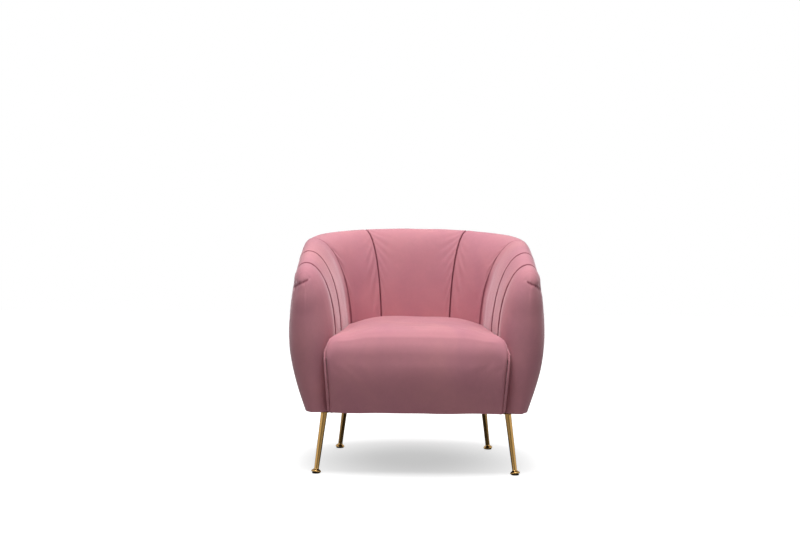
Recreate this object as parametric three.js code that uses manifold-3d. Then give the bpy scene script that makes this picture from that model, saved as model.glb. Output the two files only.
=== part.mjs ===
// A scallop back tub armchair on four splayed metal legs, in millimetres.
// +Z is up, the chair faces -Y, and the origin is on the floor under the middle of the body.
// The wall of the tub is one smooth shape. Its ridge runs from the middle of the back round to each arm's nose,
// and every pad, cover, rib and rail is cut from that shape between two places on the ridge.
import * as THREE from "three";
import Module from "manifold-3d";
import { mergeVertices } from "three/addons/utils/BufferGeometryUtils.js";

const wasm = await Module();
wasm.setup();

// Driving dimensions
const HEIGHT = 753; // floor to the top of the back
const BODY_Z = 188; // floor to the lower edge of the covers
const BODY_FRONT = -350; // y of the seat's front
const FIT = 0.3; // gap between pieces that touch
const SEAM_GAP = 0.4; // gap between two pads at a sewn seam

// The ridge of the wall, seen from above
const RIDGE_HALF = 340;
const CORNER_Y = 20; // where the straight arms turn into the rounded back
const RIDGE_DEPTH = 240; // from there to the ridge at the middle of the back
const PLAN_POWER = 2.5;
const CAP_Y = -245; // where the arm's rounded front end starts

// The inner foot of the wall, at seat level
const WALL_REACH = 118; // from the ridge in to the wall's inner foot
const FOOT_HALF = RIDGE_HALF - WALL_REACH;
const BACK_REACH = 100; // the same at the middle of the back
const FOOT_DEPTH = RIDGE_DEPTH - BACK_REACH;
const FOOT_FLARE = 25; // how much wider the seat is at the arm's front end
const FOOT_FLARE_POWER = 1.25;
const FOOT_Z = 400; // above this height the inner face curves over to the ridge

// The wall's outer face, measured outwards from the ridge
const SHOULDER_OUT = 34;
const SHOULDER_DROP = 45; // from the ridge down to the outer seam
const BULGE_FRONT = 52; // at the arm's front end
const BULGE_SIDE = 68;
const BULGE_BACK = 90;
const BULGE_Z = 418;
const BASE_SIDE = 1;
const BASE_BACK = 20;

// How far the ridge falls from the back to the third arm seam, and the nose of the arm in front of it
const RIM_DROP = 114;
const RIM_POWER = 2.2;
const NOSE_LOW = 77; // length of the rounded end at its foot
const NOSE_BELLY = 23; // how much longer it is at mid height
const NOSE_FALL = 28; // how much further the ridge falls along the nose
const NOSE_DROP = 12; // and the rounding at its tip
const NOSE_LEAN = 30; // how far the foot of the nose line leans in towards the seat

// Sewn seams: the back seam as distances along the ridge and along its foot, the arm seams by their y on each
const BACK_SEAM_RUN = 176;
const BACK_SEAM_FOOT_RUN = 113;
const ARM_SEAM_Y = [60, -120, -232];
const ARM_SEAM_FOOT_Y = [88, -120, -232];
const GROOVE = 3; // how far a pad dips towards its seams

// Base rails
const RAIL = 25; // their thickness
const RAIL_HEIGHT = 95;
const RAIL_TOP_Z = BODY_Z + RAIL_HEIGHT;

// Upholstery
const PAD = 28; // inside pads, foam and fabric
const SKIN = 6; // outside covers, fabric and wadding
const PAD_ABOVE_RAIL = 23;
const PAD_FOOT_Z = RAIL_TOP_Z + PAD_ABOVE_RAIL; // lower edge of the inside pads

// Seat
const SEAT_SIDE_IN = 69; // from the ridge in to the seat's side at the front
const SEAT_HALF = RIDGE_HALF - SEAT_SIDE_IN;
const SEAT_CLEAR = 0.6;
const NOSE_CLEAR = 3; // more room beside the arm's rounded end
const SEAT_CORNER = 12;
const SEAT_EDGE_FRONT_Z = 437;
const SEAT_EDGE_BACK_Z = 454;
const SEAT_CROWN = 12;
const SEAT_SHOULDER_IN = 126;
const SEAT_SHOULDER_X = SEAT_HALF - SEAT_SHOULDER_IN; // from here outwards the seat falls towards its sides
const SEAT_SHOULDER_RUN = 80;
const SEAT_SHOULDER_DROP = 14;
const SEAT_TIP_IN = 39;
const SEAT_TIP_X = SEAT_HALF - SEAT_TIP_IN; // and from here outwards the front corners round off
const SEAT_TIP_DROP = 16;
const WATERFALL_RUN = 85;
const WATERFALL_DROP = 92;
const SEAT_SIDE_ROUND = 14;
const SEAT_FRONT_SLOPE = 25; // how far the foot of the front face is set back
const SEAT_FRONT_BEND = 1.7; // above 1 the face leaves the front edge upright and leans back lower down
const SEAT_FRONT_TAPER = 10; // and how much narrower it is on each side
const SEAT_SKIN = 5;
const FOAM_ABOVE_RAIL = 21;
const SEAT_FOAM_Z = RAIL_TOP_Z + FOAM_ABOVE_RAIL;
const SEAT_RING_SHARES = [0.3, 0.6, 0.8, 0.92, 0.98, 1];
const SEAT_WALL_SHARES = [0.5, 1];
const SEAT_FRONT_SHARES = [0.66, 0.33, 0];
const PIPING = 7; // diameter of the piping beside the seat's front
const PIPING_TURN = Math.PI / 6; // where it sits on the front corner, round from the side
const PIPING_SHARES = [0.82, 0.87, 0.92, 0.96]; // places over the front edge

// Wooden frame
const FRONT_RAIL_Y = -285; // front face of the front rail
const FRONT_RAIL_IN = 72; // its end, inwards of the ridge
const FRONT_RAIL_HALF = RIDGE_HALF - FRONT_RAIL_IN;
const BACK_RAIL_FORWARD = 37; // its front face, in front of the ridge
const BACK_RAIL_Y = CORNER_Y + RIDGE_DEPTH - BACK_RAIL_FORWARD;
const BACK_RAIL_IN = 155;
const BACK_RAIL_HALF = RIDGE_HALF - BACK_RAIL_IN;
const FRONT_BLOCK_DEPTH = 75;
const FRONT_BLOCK_IN = 104;
const FRONT_BLOCK_INNER = RIDGE_HALF - FRONT_BLOCK_IN;
const FRONT_BLOCK_INSET = 8; // its outer face, inwards of the side rail's
const BACK_BLOCK_IN = 70;
const BACK_BLOCK_INNER = RIDGE_HALF - BACK_BLOCK_IN;
const BACK_BLOCK_FORWARD = 83;
const BACK_BLOCK_Y = BACK_RAIL_Y - BACK_BLOCK_FORWARD; // where the back block meets the end of the back rail
const RIB = 18; // plywood
const RIB_STEPS = 8;
const RIB_CLEAR = 5; // wadding between a rib and the pads and covers
const FRONT_RIB_Y = -234;
const TOP_RAIL_IN = 20; // the top rail, inwards and outwards of the ridge
const TOP_RAIL_OUT = 2;
const TOP_RAIL_HEIGHT = 34;
const TOP_RAIL_COVER = 46; // from the ridge down to the top of the rail

// Suspension
const WIRE = 3.8;
const SPRING_COUNT = 5;
const SPRING_PITCH = 50;
const SPRING_SWING = 20; // half the width of a spring's waves
const SPRING_WAVES = 7;
const SPRING_RISE = 10;
const SPRING_BEARING = 13; // how far a spring reaches over each rail
const FELT = 5;
const FELT_IN = 135; // its side, inwards of the ridge
const FELT_HALF = RIDGE_HALF - FELT_IN;
const FELT_BEHIND_RAIL = 32;
const FELT_FRONT = FRONT_RAIL_Y + FELT_BEHIND_RAIL;
const FELT_BEFORE_RAIL = 103;
const FELT_BACK = BACK_RAIL_Y - FELT_BEFORE_RAIL;

// Legs, their plates and screws
const LEG_FRONT_IN = 61; // the top of a leg, inwards of the ridge
const LEG_BACK_IN = 110;
const LEG_BEHIND_RAIL = 19; // and behind the front rail's face
const LEG_BEFORE_RAIL = 25; // or in front of the back rail's
const LEG_TOP_FRONT = [RIDGE_HALF - LEG_FRONT_IN, FRONT_RAIL_Y + LEG_BEHIND_RAIL];
const LEG_TOP_BACK = [RIDGE_HALF - LEG_BACK_IN, BACK_RAIL_Y - LEG_BEFORE_RAIL];
const LEG_SPLAY = 22;
const LEG_TOP_D = 20;
const LEG_FOOT_D = 14.6;
const LEG_BORE_D = 9;
const LEG_BORE_DEPTH = 12;
const GLIDE_STEM = 10;
const FOOT_D = 30;
const FOOT_HEIGHT = 11;
const FOOT_PROFILE_SHARES = [
  [0, 0],
  [0.86, 0],
  [1, 0.27],
  [0.9, 0.5],
  [0.68, 0.74],
  [0.5, 1],
  [0, 1],
]; // of the foot's radius and height
const LEG_SIDES = 16;
const PLATE = 3;
const PLATE_D = 56;
const PLATE_SIDES = 24;
const PLATE_INWARD = 9; // the plate's middle, inwards of the leg in x and in y
const SCREW_CIRCLE = 20;
const SCREW_D = 4.2;
const SCREW_LENGTH = 24;
const SCREW_HEAD_D = 8;
const SCREW_HEAD = 2.4;
const GLIDE_D = 24;
const GLIDE = 3; // thickness of the glide under the foot
const DUST = 1.5;
const DUST_INSET = 12;
const DUST_FRONT_INSET = 24;
const DUST_CAP_SHARES = [0.5, 0.8, 0.95];
const OVERRUN = 5; // how far a cutting tool runs past what it cuts

const colours = {
  velvet: new THREE.MeshStandardMaterial({ color: 0xc0757f, roughness: 0.85, metalness: 0 }),
  foam: new THREE.MeshStandardMaterial({ color: 0xe8dcb8, roughness: 0.95, metalness: 0 }),
  felt: new THREE.MeshStandardMaterial({ color: 0x8d8a86, roughness: 1, metalness: 0 }),
  timber: new THREE.MeshStandardMaterial({ color: 0xc79b63, roughness: 0.7, metalness: 0 }),
  plywood: new THREE.MeshStandardMaterial({ color: 0xd3ad77, roughness: 0.7, metalness: 0 }),
  brass: new THREE.MeshStandardMaterial({ color: 0xb98a3c, roughness: 0.22, metalness: 1 }),
  steel: new THREE.MeshStandardMaterial({ color: 0x9a9a9a, roughness: 0.4, metalness: 1 }),
  plastic: new THREE.MeshStandardMaterial({ color: 0x2b2a29, roughness: 0.6, metalness: 0 }),
  lining: new THREE.MeshStandardMaterial({ color: 0x1d1c1c, roughness: 0.95, metalness: 0 }),
};

const chair = new THREE.Group();

function addPiece(name, geometry, material) {
  const mesh = new THREE.Mesh(geometry, material);
  mesh.name = name;
  chair.add(mesh);
  return mesh;
}

// Solids to cut and join

function toSolid(geometry) {
  const plain = geometry.clone();
  plain.deleteAttribute("normal");
  plain.deleteAttribute("uv");
  const merged = mergeVertices(plain, 1e-3);
  return new wasm.Manifold(
    new wasm.Mesh({
      numProp: 3,
      vertProperties: new Float32Array(merged.attributes.position.array),
      triVerts: new Uint32Array(merged.index.array),
    }),
  );
}

function toGeometry(solid) {
  const mesh = solid.getMesh();
  const geometry = new THREE.BufferGeometry();
  geometry.setAttribute("position", new THREE.BufferAttribute(mesh.vertProperties, 3));
  geometry.setIndex(new THREE.BufferAttribute(mesh.triVerts, 1));
  return geometry;
}

function cut(geometry, ...tools) {
  return toGeometry(tools.reduce((solid, tool) => solid.subtract(toSolid(tool)), toSolid(geometry)));
}

function box(xLow, xHigh, yLow, yHigh, zLow, zHigh) {
  const made = new THREE.BoxGeometry(xHigh - xLow, yHigh - yLow, zHigh - zLow);
  return made.translate((xLow + xHigh) / 2, (yLow + yHigh) / 2, (zLow + zHigh) / 2);
}

function plank(outline, zLow, thickness) {
  const shape = new THREE.Shape(outline.map(([x, y]) => new THREE.Vector2(x, y)));
  const made = new THREE.ExtrudeGeometry(shape, { depth: thickness, bevelEnabled: false });
  return made.translate(0, 0, zLow);
}

function upright(diameter, zLow, zHigh, x, y, sides = 12) {
  const made = new THREE.CylinderGeometry(diameter / 2, diameter / 2, zHigh - zLow, sides);
  return made.rotateX(Math.PI / 2).translate(x, y, (zLow + zHigh) / 2);
}

// Two grids of points, the face and the back of a pad, closed round their edges into one solid.
// Where endsMeet is true the last column of each grid folds onto itself, so it needs no edge of its own.
function slab(face, back, endsMeet = false) {
  const columns = face.length;
  const rows = face[0].length;
  const points = [...face.flat(), ...back.flat()];
  const half = columns * rows;
  const at = (column, row) => column * rows + row;
  const index = [];
  const quad = (a, b, c, d) => index.push(a, b, c, a, c, d);
  for (let c = 0; c + 1 < columns; c++) {
    for (let r = 0; r + 1 < rows; r++) {
      quad(at(c, r), at(c, r + 1), at(c + 1, r + 1), at(c + 1, r));
      quad(half + at(c, r), half + at(c + 1, r), half + at(c + 1, r + 1), half + at(c, r + 1));
    }
    quad(at(c + 1, 0), half + at(c + 1, 0), half + at(c, 0), at(c, 0));
    quad(at(c, rows - 1), half + at(c, rows - 1), half + at(c + 1, rows - 1), at(c + 1, rows - 1));
  }
  const edge = (c, turned) => {
    for (let r = 0; r + 1 < rows; r++) {
      const [low, high] = turned ? [r + 1, r] : [r, r + 1];
      quad(at(c, low), half + at(c, low), half + at(c, high), at(c, high));
    }
  };
  edge(0, false);
  if (!endsMeet) edge(columns - 1, true);
  return closedMesh(points, index);
}

// A closed mesh from points and triangles, turned so that its faces point out.
function closedMesh(points, index) {
  const geometry = new THREE.BufferGeometry();
  geometry.setAttribute("position", new THREE.Float32BufferAttribute(points.flat(), 3));
  geometry.setIndex(index);
  const merged = mergeVertices(geometry, 1e-3);
  const kept = [];
  const old = merged.index.array;
  for (let i = 0; i < old.length; i += 3) {
    const [a, b, c] = [old[i], old[i + 1], old[i + 2]];
    if (a !== b && b !== c && c !== a) kept.push(a, b, c);
  }
  if (signedVolume(merged.attributes.position, kept) < 0) kept.reverse();
  merged.setIndex(kept);
  return merged;
}

function signedVolume(position, index) {
  const [a, b, c] = [new THREE.Vector3(), new THREE.Vector3(), new THREE.Vector3()];
  let volume = 0;
  for (let i = 0; i < index.length; i += 3) {
    a.fromBufferAttribute(position, index[i]);
    b.fromBufferAttribute(position, index[i + 1]);
    c.fromBufferAttribute(position, index[i + 2]);
    volume += a.dot(b.cross(c)) / 6;
  }
  return volume;
}

function mirrored(geometry) {
  const made = geometry.clone().scale(-1, 1, 1);
  const index = made.index ? Array.from(made.index.array) : [...Array(made.attributes.position.count).keys()];
  made.setIndex(index.reverse());
  return made;
}

function addPair(name, geometry, material) {
  addPiece(`${name}_right`, geometry, material);
  addPiece(`${name}_left`, mirrored(geometry), material);
}

// The tub's wall

const mix = (a, b, share) => a + (b - a) * share;
const clamp01 = (value) => Math.min(1, Math.max(0, value));
const ease = (share) => clamp01(share) ** 2 * (3 - 2 * clamp01(share));
const CURVE_SAMPLES = 400;

// A line in plan from the middle of the back, round the corner and along the arm, as points and distances run.
function planCurve(half, depth, flare) {
  const rows = [];
  const add = (x, y) => {
    const last = rows.at(-1);
    rows.push({ x, y, run: last ? last.run + Math.hypot(x - last.x, y - last.y) : 0 });
  };
  for (let i = 0; i <= CURVE_SAMPLES; i++) {
    const turn = (Math.PI / 2) * (1 - i / CURVE_SAMPLES);
    const across = Math.max(Math.cos(turn), 0) ** (2 / PLAN_POWER);
    const along = Math.max(Math.sin(turn), 0) ** (2 / PLAN_POWER);
    add(half * across, CORNER_Y + depth * along);
  }
  for (let i = 1; i <= CURVE_SAMPLES; i++) {
    const share = i / CURVE_SAMPLES;
    add(half + flare * share ** FOOT_FLARE_POWER, mix(CORNER_Y, CAP_Y, share));
  }
  return rows;
}

// The place on a plan curve at a distance run: its point and which way is out.
function placeOn(rows, run) {
  const next = Math.min(rows.length - 1, Math.max(1, rows.findIndex((row) => row.run >= run)));
  const [a, b] = [rows[next - 1], rows[next]];
  const share = (run - a.run) / (b.run - a.run);
  const length = b.run - a.run;
  const outward = run === 0 ? [0, 1] : [-(b.y - a.y) / length, (b.x - a.x) / length];
  return { point: [mix(a.x, b.x, share), mix(a.y, b.y, share)], outward };
}

// The distance run at which a curve passes a height in plan, on the arm's side of the corner.
function runAtY(rows, y) {
  const next = rows.findIndex((row) => row.x > row.y && row.y <= y);
  const [a, b] = [rows[next - 1], rows[next]];
  return mix(a.run, b.run, (y - a.y) / (b.y - a.y));
}

const ridgeCurve = planCurve(RIDGE_HALF, RIDGE_DEPTH, 0);
const footCurve = planCurve(FOOT_HALF, FOOT_DEPTH, FOOT_FLARE);
const CORNER_RUN = ridgeCurve[CURVE_SAMPLES].run;
const CAP_RUN = ridgeCurve.at(-1).run;
const ARM_SEAM_RUNS = ARM_SEAM_Y.map((y) => runAtY(ridgeCurve, y));
const SEAM_PAIRS = [
  [0, 0],
  [BACK_SEAM_RUN, BACK_SEAM_FOOT_RUN],
  ...ARM_SEAM_RUNS.map((run, i) => [run, runAtY(footCurve, ARM_SEAM_FOOT_Y[i])]),
  [CAP_RUN, footCurve.at(-1).run],
];

// The seams lean, so each length of ridge between two seams has its own length of foot.
function footPlace(run) {
  const next = Math.max(1, SEAM_PAIRS.findIndex(([ridgeRun]) => ridgeRun >= run));
  const [[a, footA], [b, footB]] = [SEAM_PAIRS[next - 1], SEAM_PAIRS[next]];
  return placeOn(footCurve, mix(footA, footB, (run - a) / (b - a)));
}

// What the wall is like at one place along the ridge. Past the end of the arm, cap goes from 0 to 1 at the nose.
function stationAt(run, cap = 0) {
  const { point: ridge, outward } = placeOn(ridgeCurve, run);
  const { point: foot, outward: footOutward } = footPlace(run);
  const facingBack = ease(outward[1]);
  const narrowing = Math.sqrt(Math.max(0, 1 - cap * cap));
  const fall = RIM_DROP * (run / ARM_SEAM_RUNS[2]) ** RIM_POWER;
  const side = mix(BULGE_FRONT, BULGE_SIDE, ease((ridge[1] - CAP_Y) / (CORNER_Y - CAP_Y)));
  return {
    ridge,
    foot,
    outward,
    footOutward,
    cap,
    narrowing,
    top: HEIGHT - fall - NOSE_FALL * cap - NOSE_DROP * (1 - narrowing),
    bulge: mix(side, BULGE_BACK, facingBack),
    base: mix(BASE_SIDE, BASE_BACK, facingBack),
  };
}

// Inward offset of the seat side of the wall at a height, and outward offset of its other side.
function innerOffset(station, z, inset) {
  const reach = Math.hypot(station.foot[0] - station.ridge[0], station.foot[1] - station.ridge[1]) - inset;
  const climb = clamp01((z - FOOT_Z) / (station.top - inset - FOOT_Z));
  return reach * Math.sqrt(1 - climb * climb);
}

function outerOffset(station, z, inset) {
  const shoulder = station.top - SHOULDER_DROP;
  if (z >= shoulder) {
    const climb = clamp01((z - shoulder) / (SHOULDER_DROP - inset));
    return (SHOULDER_OUT - inset) * Math.sqrt(1 - climb * climb);
  }
  if (z >= BULGE_Z) {
    const share = (z - BULGE_Z) / (shoulder - BULGE_Z);
    return mix(SHOULDER_OUT, station.bulge, Math.cos((Math.PI / 2) * share)) - inset;
  }
  const share = (z - BODY_Z) / (BULGE_Z - BODY_Z);
  return mix(station.base, station.bulge, Math.sin((Math.PI / 2) * share)) - inset;
}

// A point of the wall: side is "inner" or "outer", and inset is how deep under the surface it lies.
function wallPoint(station, side, z, inset) {
  const offset = side === "inner" ? innerOffset(station, z, inset) : outerOffset(station, z, inset);
  if (station.cap === 0) {
    const [x, y] = station.ridge;
    if (side === "outer") return [x + station.outward[0] * offset, y + station.outward[1] * offset, z];
    const reach = Math.hypot(station.foot[0] - x, station.foot[1] - y);
    return [x + ((station.foot[0] - x) * offset) / reach, y + ((station.foot[1] - y) * offset) / reach, z];
  }
  const height = clamp01((z - BODY_Z) / (station.top - BODY_Z));
  const lean = -NOSE_LEAN * (1 - height);
  const signed = side === "inner" ? -offset : offset;
  const length = NOSE_LOW + NOSE_BELLY * Math.sin(Math.PI * height) - inset;
  return [RIDGE_HALF + lean + (signed - lean) * station.narrowing, CAP_Y - length * station.cap, z];
}

const LOW_STEPS = 6;
const TOP_STEPS = 4;

// Heights of the points on one side, from zLow up to the outer seam and on to the ridge.
function levels(station, zLow, inset, lowSteps = LOW_STEPS) {
  const shoulder = station.top - SHOULDER_DROP;
  const heights = [];
  for (let i = 0; i <= lowSteps; i++) heights.push(mix(zLow, shoulder, i / lowSteps));
  for (let i = 1; i <= TOP_STEPS; i++) {
    heights.push(mix(shoulder, station.top - inset, Math.sin((Math.PI / 2) * (i / TOP_STEPS))));
  }
  return heights;
}

// One column of a pad: up the inside, over the ridge, and down the outside to the seam, or to outerLow if given.
function arch(station, inset, innerLow, outerLow, outerInset = inset) {
  const inside = levels(station, innerLow, inset).map((z) => wallPoint(station, "inner", z, inset));
  const outside = levels(station, outerLow ?? BODY_Z, inset).map((z, i) => {
    return wallPoint(station, "outer", z, i <= LOW_STEPS ? outerInset : inset);
  });
  const shown = outerLow === undefined ? outside.slice(LOW_STEPS) : outside;
  return [...inside, ...shown.slice(0, -1).reverse()];
}

// Where the columns of the pads stand along the ridge, and how far round the nose.
const CENTRE_STEPS = 5;
const SIDE_STEPS = 7;
const PLEAT_STEPS = 3;
const CAP_STEPS = 6;
const CAP_SHARES = [...Array(CAP_STEPS + 1).keys()].map((i) => Math.sin((Math.PI / 2) * (i / CAP_STEPS)));
const spread = (from, to, steps) => [...Array(steps + 1).keys()].map((i) => mix(from, to, i / steps));

function insidePad(runFrom, runTo, steps) {
  const places = spread(runFrom + SEAM_GAP / 2, runTo - SEAM_GAP / 2, steps);
  const dip = places.map((_, i) => GROOVE * (1 - Math.sin((Math.PI * i) / steps) ** (1 / 2)));
  const face = places.map((run, i) => arch(stationAt(run), dip[i], PAD_FOOT_Z));
  const back = places.map((run) => arch(stationAt(run), PAD, PAD_FOOT_Z));
  return slab(face, back);
}

// The middle pad of the back is made in one piece across the chair's centre line.
function centrePad(steps) {
  const places = spread(0, BACK_SEAM_RUN - SEAM_GAP / 2, steps);
  const dip = places.map((run) => GROOVE * (1 - Math.cos((Math.PI / 2) * (run / BACK_SEAM_RUN)) ** (1 / 2)));
  const half = (inset) => places.map((run, i) => arch(stationAt(run), inset(i), PAD_FOOT_Z));
  const flip = (column) => column.map(([x, y, z]) => [-x, y, z]);
  const whole = (columns) => [...columns.slice(1).reverse().map(flip), ...columns];
  return slab(whole(half((i) => dip[i])), whole(half(() => PAD)));
}

// The pad that wraps the front of an arm, from the third seam round the nose to the outside.
// Its outer half is thin, and its seat side reaches the foot of the body only in front of the front rail.
function armFront() {
  const places = [stationAt(ARM_SEAM_RUNS[2] + SEAM_GAP / 2), ...CAP_SHARES.map((cap) => stationAt(CAP_RUN, cap))];
  const low = (station) => (wallPoint(station, "inner", BODY_Z, 0)[1] > FRONT_RAIL_Y ? PAD_FOOT_Z : BODY_Z);
  const face = places.map((station, i) => arch(station, i === 0 ? GROOVE : 0, low(station), BODY_Z));
  const back = places.map((station) => arch(station, PAD, low(station), BODY_Z, mix(SKIN, PAD, station.cap)));
  return slab(face, back, true);
}

function outsideCover(runFrom, runTo, steps) {
  const places = spread(runFrom, runTo, steps).map((run) => stationAt(run));
  const column = (inset) => (station) => {
    const heights = levels(station, BODY_Z, 0).slice(0, LOW_STEPS + 1);
    heights[LOW_STEPS] -= SEAM_GAP;
    return heights.map((z) => wallPoint(station, "outer", z, inset));
  };
  return [places.map(column(0)), places.map(column(SKIN))];
}

function buildUpholstery() {
  const [first, second, third] = ARM_SEAM_RUNS;
  addPiece("inside_back_pad_centre", centrePad(CENTRE_STEPS), colours.velvet);
  addPair("inside_back_pad_side", insidePad(BACK_SEAM_RUN, first, SIDE_STEPS), colours.velvet);
  addPair("arm_pleat_rear", insidePad(first, second, PLEAT_STEPS), colours.velvet);
  addPair("arm_pleat_front", insidePad(second, third, PLEAT_STEPS), colours.velvet);
  addPair("arm_front_pad", armFront(), colours.velvet);
  const [sideFace, sideBack] = outsideCover(first + SEAM_GAP / 2, third - SEAM_GAP / 2, 5);
  addPair("outside_arm_cover", slab(sideFace, sideBack), colours.velvet);
  const [backFace, backInner] = outsideCover(0, first - SEAM_GAP / 2, 8);
  const flip = (column) => column.map(([x, y, z]) => [-x, y, z]);
  const whole = (columns) => [...columns.slice(1).reverse().map(flip), ...columns];
  addPiece("outside_back_cover", slab(whole(backFace), whole(backInner)), colours.velvet);
}

// The seat

// Height of the seat over a point of its plan: a crowned top that falls over the front edge and to its sides.
function seatTop(x, y) {
  const back = CORNER_Y + FOOT_DEPTH;
  const edge = mix(SEAT_EDGE_FRONT_Z, SEAT_EDGE_BACK_Z, (y - BODY_FRONT) / (back - BODY_FRONT));
  const middle = (BODY_FRONT + back) / 2;
  const crown = SEAT_CROWN * (1 - (x / SEAT_HALF) ** 2) * (1 - ((y - middle) / (back - middle)) ** 2);
  const past = clamp01(1 - (y - BODY_FRONT) / WATERFALL_RUN);
  const shoulder = ease((Math.abs(x) - SEAT_SHOULDER_X) / SEAT_SHOULDER_RUN) * ease(1 - past);
  const tip = clamp01((Math.abs(x) - SEAT_TIP_X) / (SEAT_HALF - SEAT_TIP_X)) ** 2;
  const fall = WATERFALL_DROP * (1 - Math.sqrt(1 - past * past));
  return edge + crown - SEAT_SHOULDER_DROP * shoulder - SEAT_TIP_DROP * tip - fall;
}

// Half of the seat's outline from the middle of the back to the middle of the front. Beside the wall it turns
// where the pads turn, so that the two stay the same distance apart.
function seatOutline(clear) {
  const [first, second, third] = ARM_SEAM_RUNS;
  const runs = [
    ...spread(0, BACK_SEAM_RUN, CENTRE_STEPS),
    ...spread(BACK_SEAM_RUN, first, SIDE_STEPS).slice(1),
    ...spread(first, second, PLEAT_STEPS).slice(1),
    ...spread(second, third, PLEAT_STEPS).slice(1),
    CAP_RUN,
  ];
  const outline = runs.map((run) => {
    const { foot, footOutward } = stationAt(run);
    return [Math.max(0, foot[0] - footOutward[0] * clear), foot[1] - footOutward[1] * clear];
  });
  const side = SEAT_HALF + SEAT_CLEAR - clear;
  const front = BODY_FRONT - SEAT_CLEAR + clear;
  for (const cap of CAP_SHARES.slice(1, 3)) {
    const [x, y] = wallPoint(stationAt(CAP_RUN, cap), "inner", SEAT_EDGE_FRONT_Z, 0);
    const [lastX, lastY] = outline.at(-1);
    const step = FRONT_RAIL_Y - SEAT_SKIN;
    if (lastY > step && y < step) outline.push([mix(lastX, x - clear - NOSE_CLEAR, (lastY - step) / (lastY - y)), step]);
    outline.push([x - clear - NOSE_CLEAR, y]);
  }
  outline.push([side, mix(outline.at(-1)[1], front, 0.5)]);
  for (const turn of spread(0, Math.PI / 2, 3)) {
    outline.push([
      side - SEAT_CORNER * (1 - Math.cos(turn)),
      front + SEAT_CORNER * (1 - Math.sin(turn)),
    ]);
  }
  for (const share of SEAT_FRONT_SHARES) outline.push([(side - SEAT_CORNER) * share, front]);
  return outline;
}

// The seat's surface as rings of points: over the top from the middle outwards, then down its sides.
// depth is how far under the visible surface it lies, and frontLow and restLow are where its sides end.
function seatRings(depth, frontLow, restLow) {
  const half = seatOutline(SEAT_CLEAR + depth);
  const left = half.slice(1, -1).reverse().map(([x, y]) => [-x, y]);
  const outline = [...half, ...left];
  const middle = [0, (BODY_FRONT + CORNER_Y) / 2];
  const rings = SEAT_RING_SHARES.map((share) =>
    outline.map(([x, y]) => {
      const [px, py] = [mix(middle[0], x, share), mix(middle[1], y, share)];
      const near = clamp01(1 - ((1 - share) * Math.hypot(x - middle[0], y - middle[1])) / SEAT_SIDE_ROUND);
      const drop = SEAT_SIDE_ROUND * (1 - Math.sqrt(1 - near * near));
      const falling = clamp01((BODY_FRONT + WATERFALL_RUN - py) / WATERFALL_RUN);
      return [px, py, seatTop(px, py) - depth - drop * (1 - falling / 2)];
    }),
  );
  const rim = rings.at(-1);
  const skirtY = FRONT_RAIL_Y - SEAT_SKIN;
  for (const share of SEAT_WALL_SHARES) {
    rings.push(
      rim.map(([x, y, z], i) => {
        const inFront = outline[i][1] < skirtY - FIT;
        const facing = ease((skirtY - outline[i][1]) / (skirtY - BODY_FRONT - SEAT_CORNER));
        const narrow = 1 - (SEAT_FRONT_TAPER / SEAT_HALF) * share * facing;
        const set = SEAT_FRONT_SLOPE * share ** SEAT_FRONT_BEND * facing;
        return [x * narrow, y + set, mix(z, inFront ? frontLow : restLow, share)];
      }),
    );
  }
  return { top: [...middle, seatTop(...middle) - depth], rings };
}

// A closed solid from rings of points: a shell down to a second set of rings, or a block closed at closingZ.
function ringMesh(outer, inner, closingZ) {
  const count = outer.rings[0].length;
  const points = [];
  const index = [];
  const surface = ({ top, rings }, turned) => {
    const first = points.length;
    for (const ring of rings) points.push(...ring);
    const middle = points.push(top) - 1;
    const at = (ring, i) => first + ring * count + (i % count);
    const face = (a, b, c) => (turned ? index.push(a, c, b) : index.push(a, b, c));
    for (let i = 0; i < count; i++) {
      face(middle, at(0, i), at(0, i + 1));
      for (let r = 0; r + 1 < rings.length; r++) {
        face(at(r, i), at(r + 1, i), at(r + 1, i + 1));
        face(at(r, i), at(r + 1, i + 1), at(r, i + 1));
      }
    }
    return at(rings.length - 1, 0);
  };
  const low = surface(outer, false);
  const next = (start, i) => start + ((i + 1) % count);
  if (inner) {
    const innerLow = surface(inner, true);
    for (let i = 0; i < count; i++) {
      index.push(low + i, innerLow + i, next(innerLow, i), low + i, next(innerLow, i), next(low, i));
    }
  } else {
    const middle = points.push([outer.top[0], outer.top[1], closingZ]) - 1;
    for (let i = 0; i < count; i++) index.push(middle, next(low, i), low + i);
  }
  return closedMesh(points, index);
}

// The piping follows the side of the seat over the front edge and down the front corner.
function seatPipingPath() {
  const reach = PIPING / 2 + FIT;
  const around = SEAT_CORNER + reach;
  const path = [];
  for (const past of PIPING_SHARES) {
    const y = BODY_FRONT + WATERFALL_RUN * (1 - past);
    path.push([SEAT_HALF + reach, y + SEAT_CORNER / 2, seatTop(SEAT_HALF, y) - SEAT_SIDE_ROUND / 2 - reach]);
  }
  const cornerX = SEAT_HALF - SEAT_CORNER + around * Math.cos(PIPING_TURN);
  const cornerY = BODY_FRONT + SEAT_CORNER - around * Math.sin(PIPING_TURN);
  const kneeZ = seatTop(SEAT_HALF, BODY_FRONT) - SEAT_SIDE_ROUND / 2;
  for (const share of spread(0, 1, 3).slice(1)) {
    const z = mix(kneeZ, BODY_Z + PIPING / 2, share);
    path.push([cornerX - SEAT_FRONT_TAPER * share, cornerY + SEAT_FRONT_SLOPE * share ** SEAT_FRONT_BEND, z]);
  }
  return path.map((point) => new THREE.Vector3(...point));
}

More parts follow.
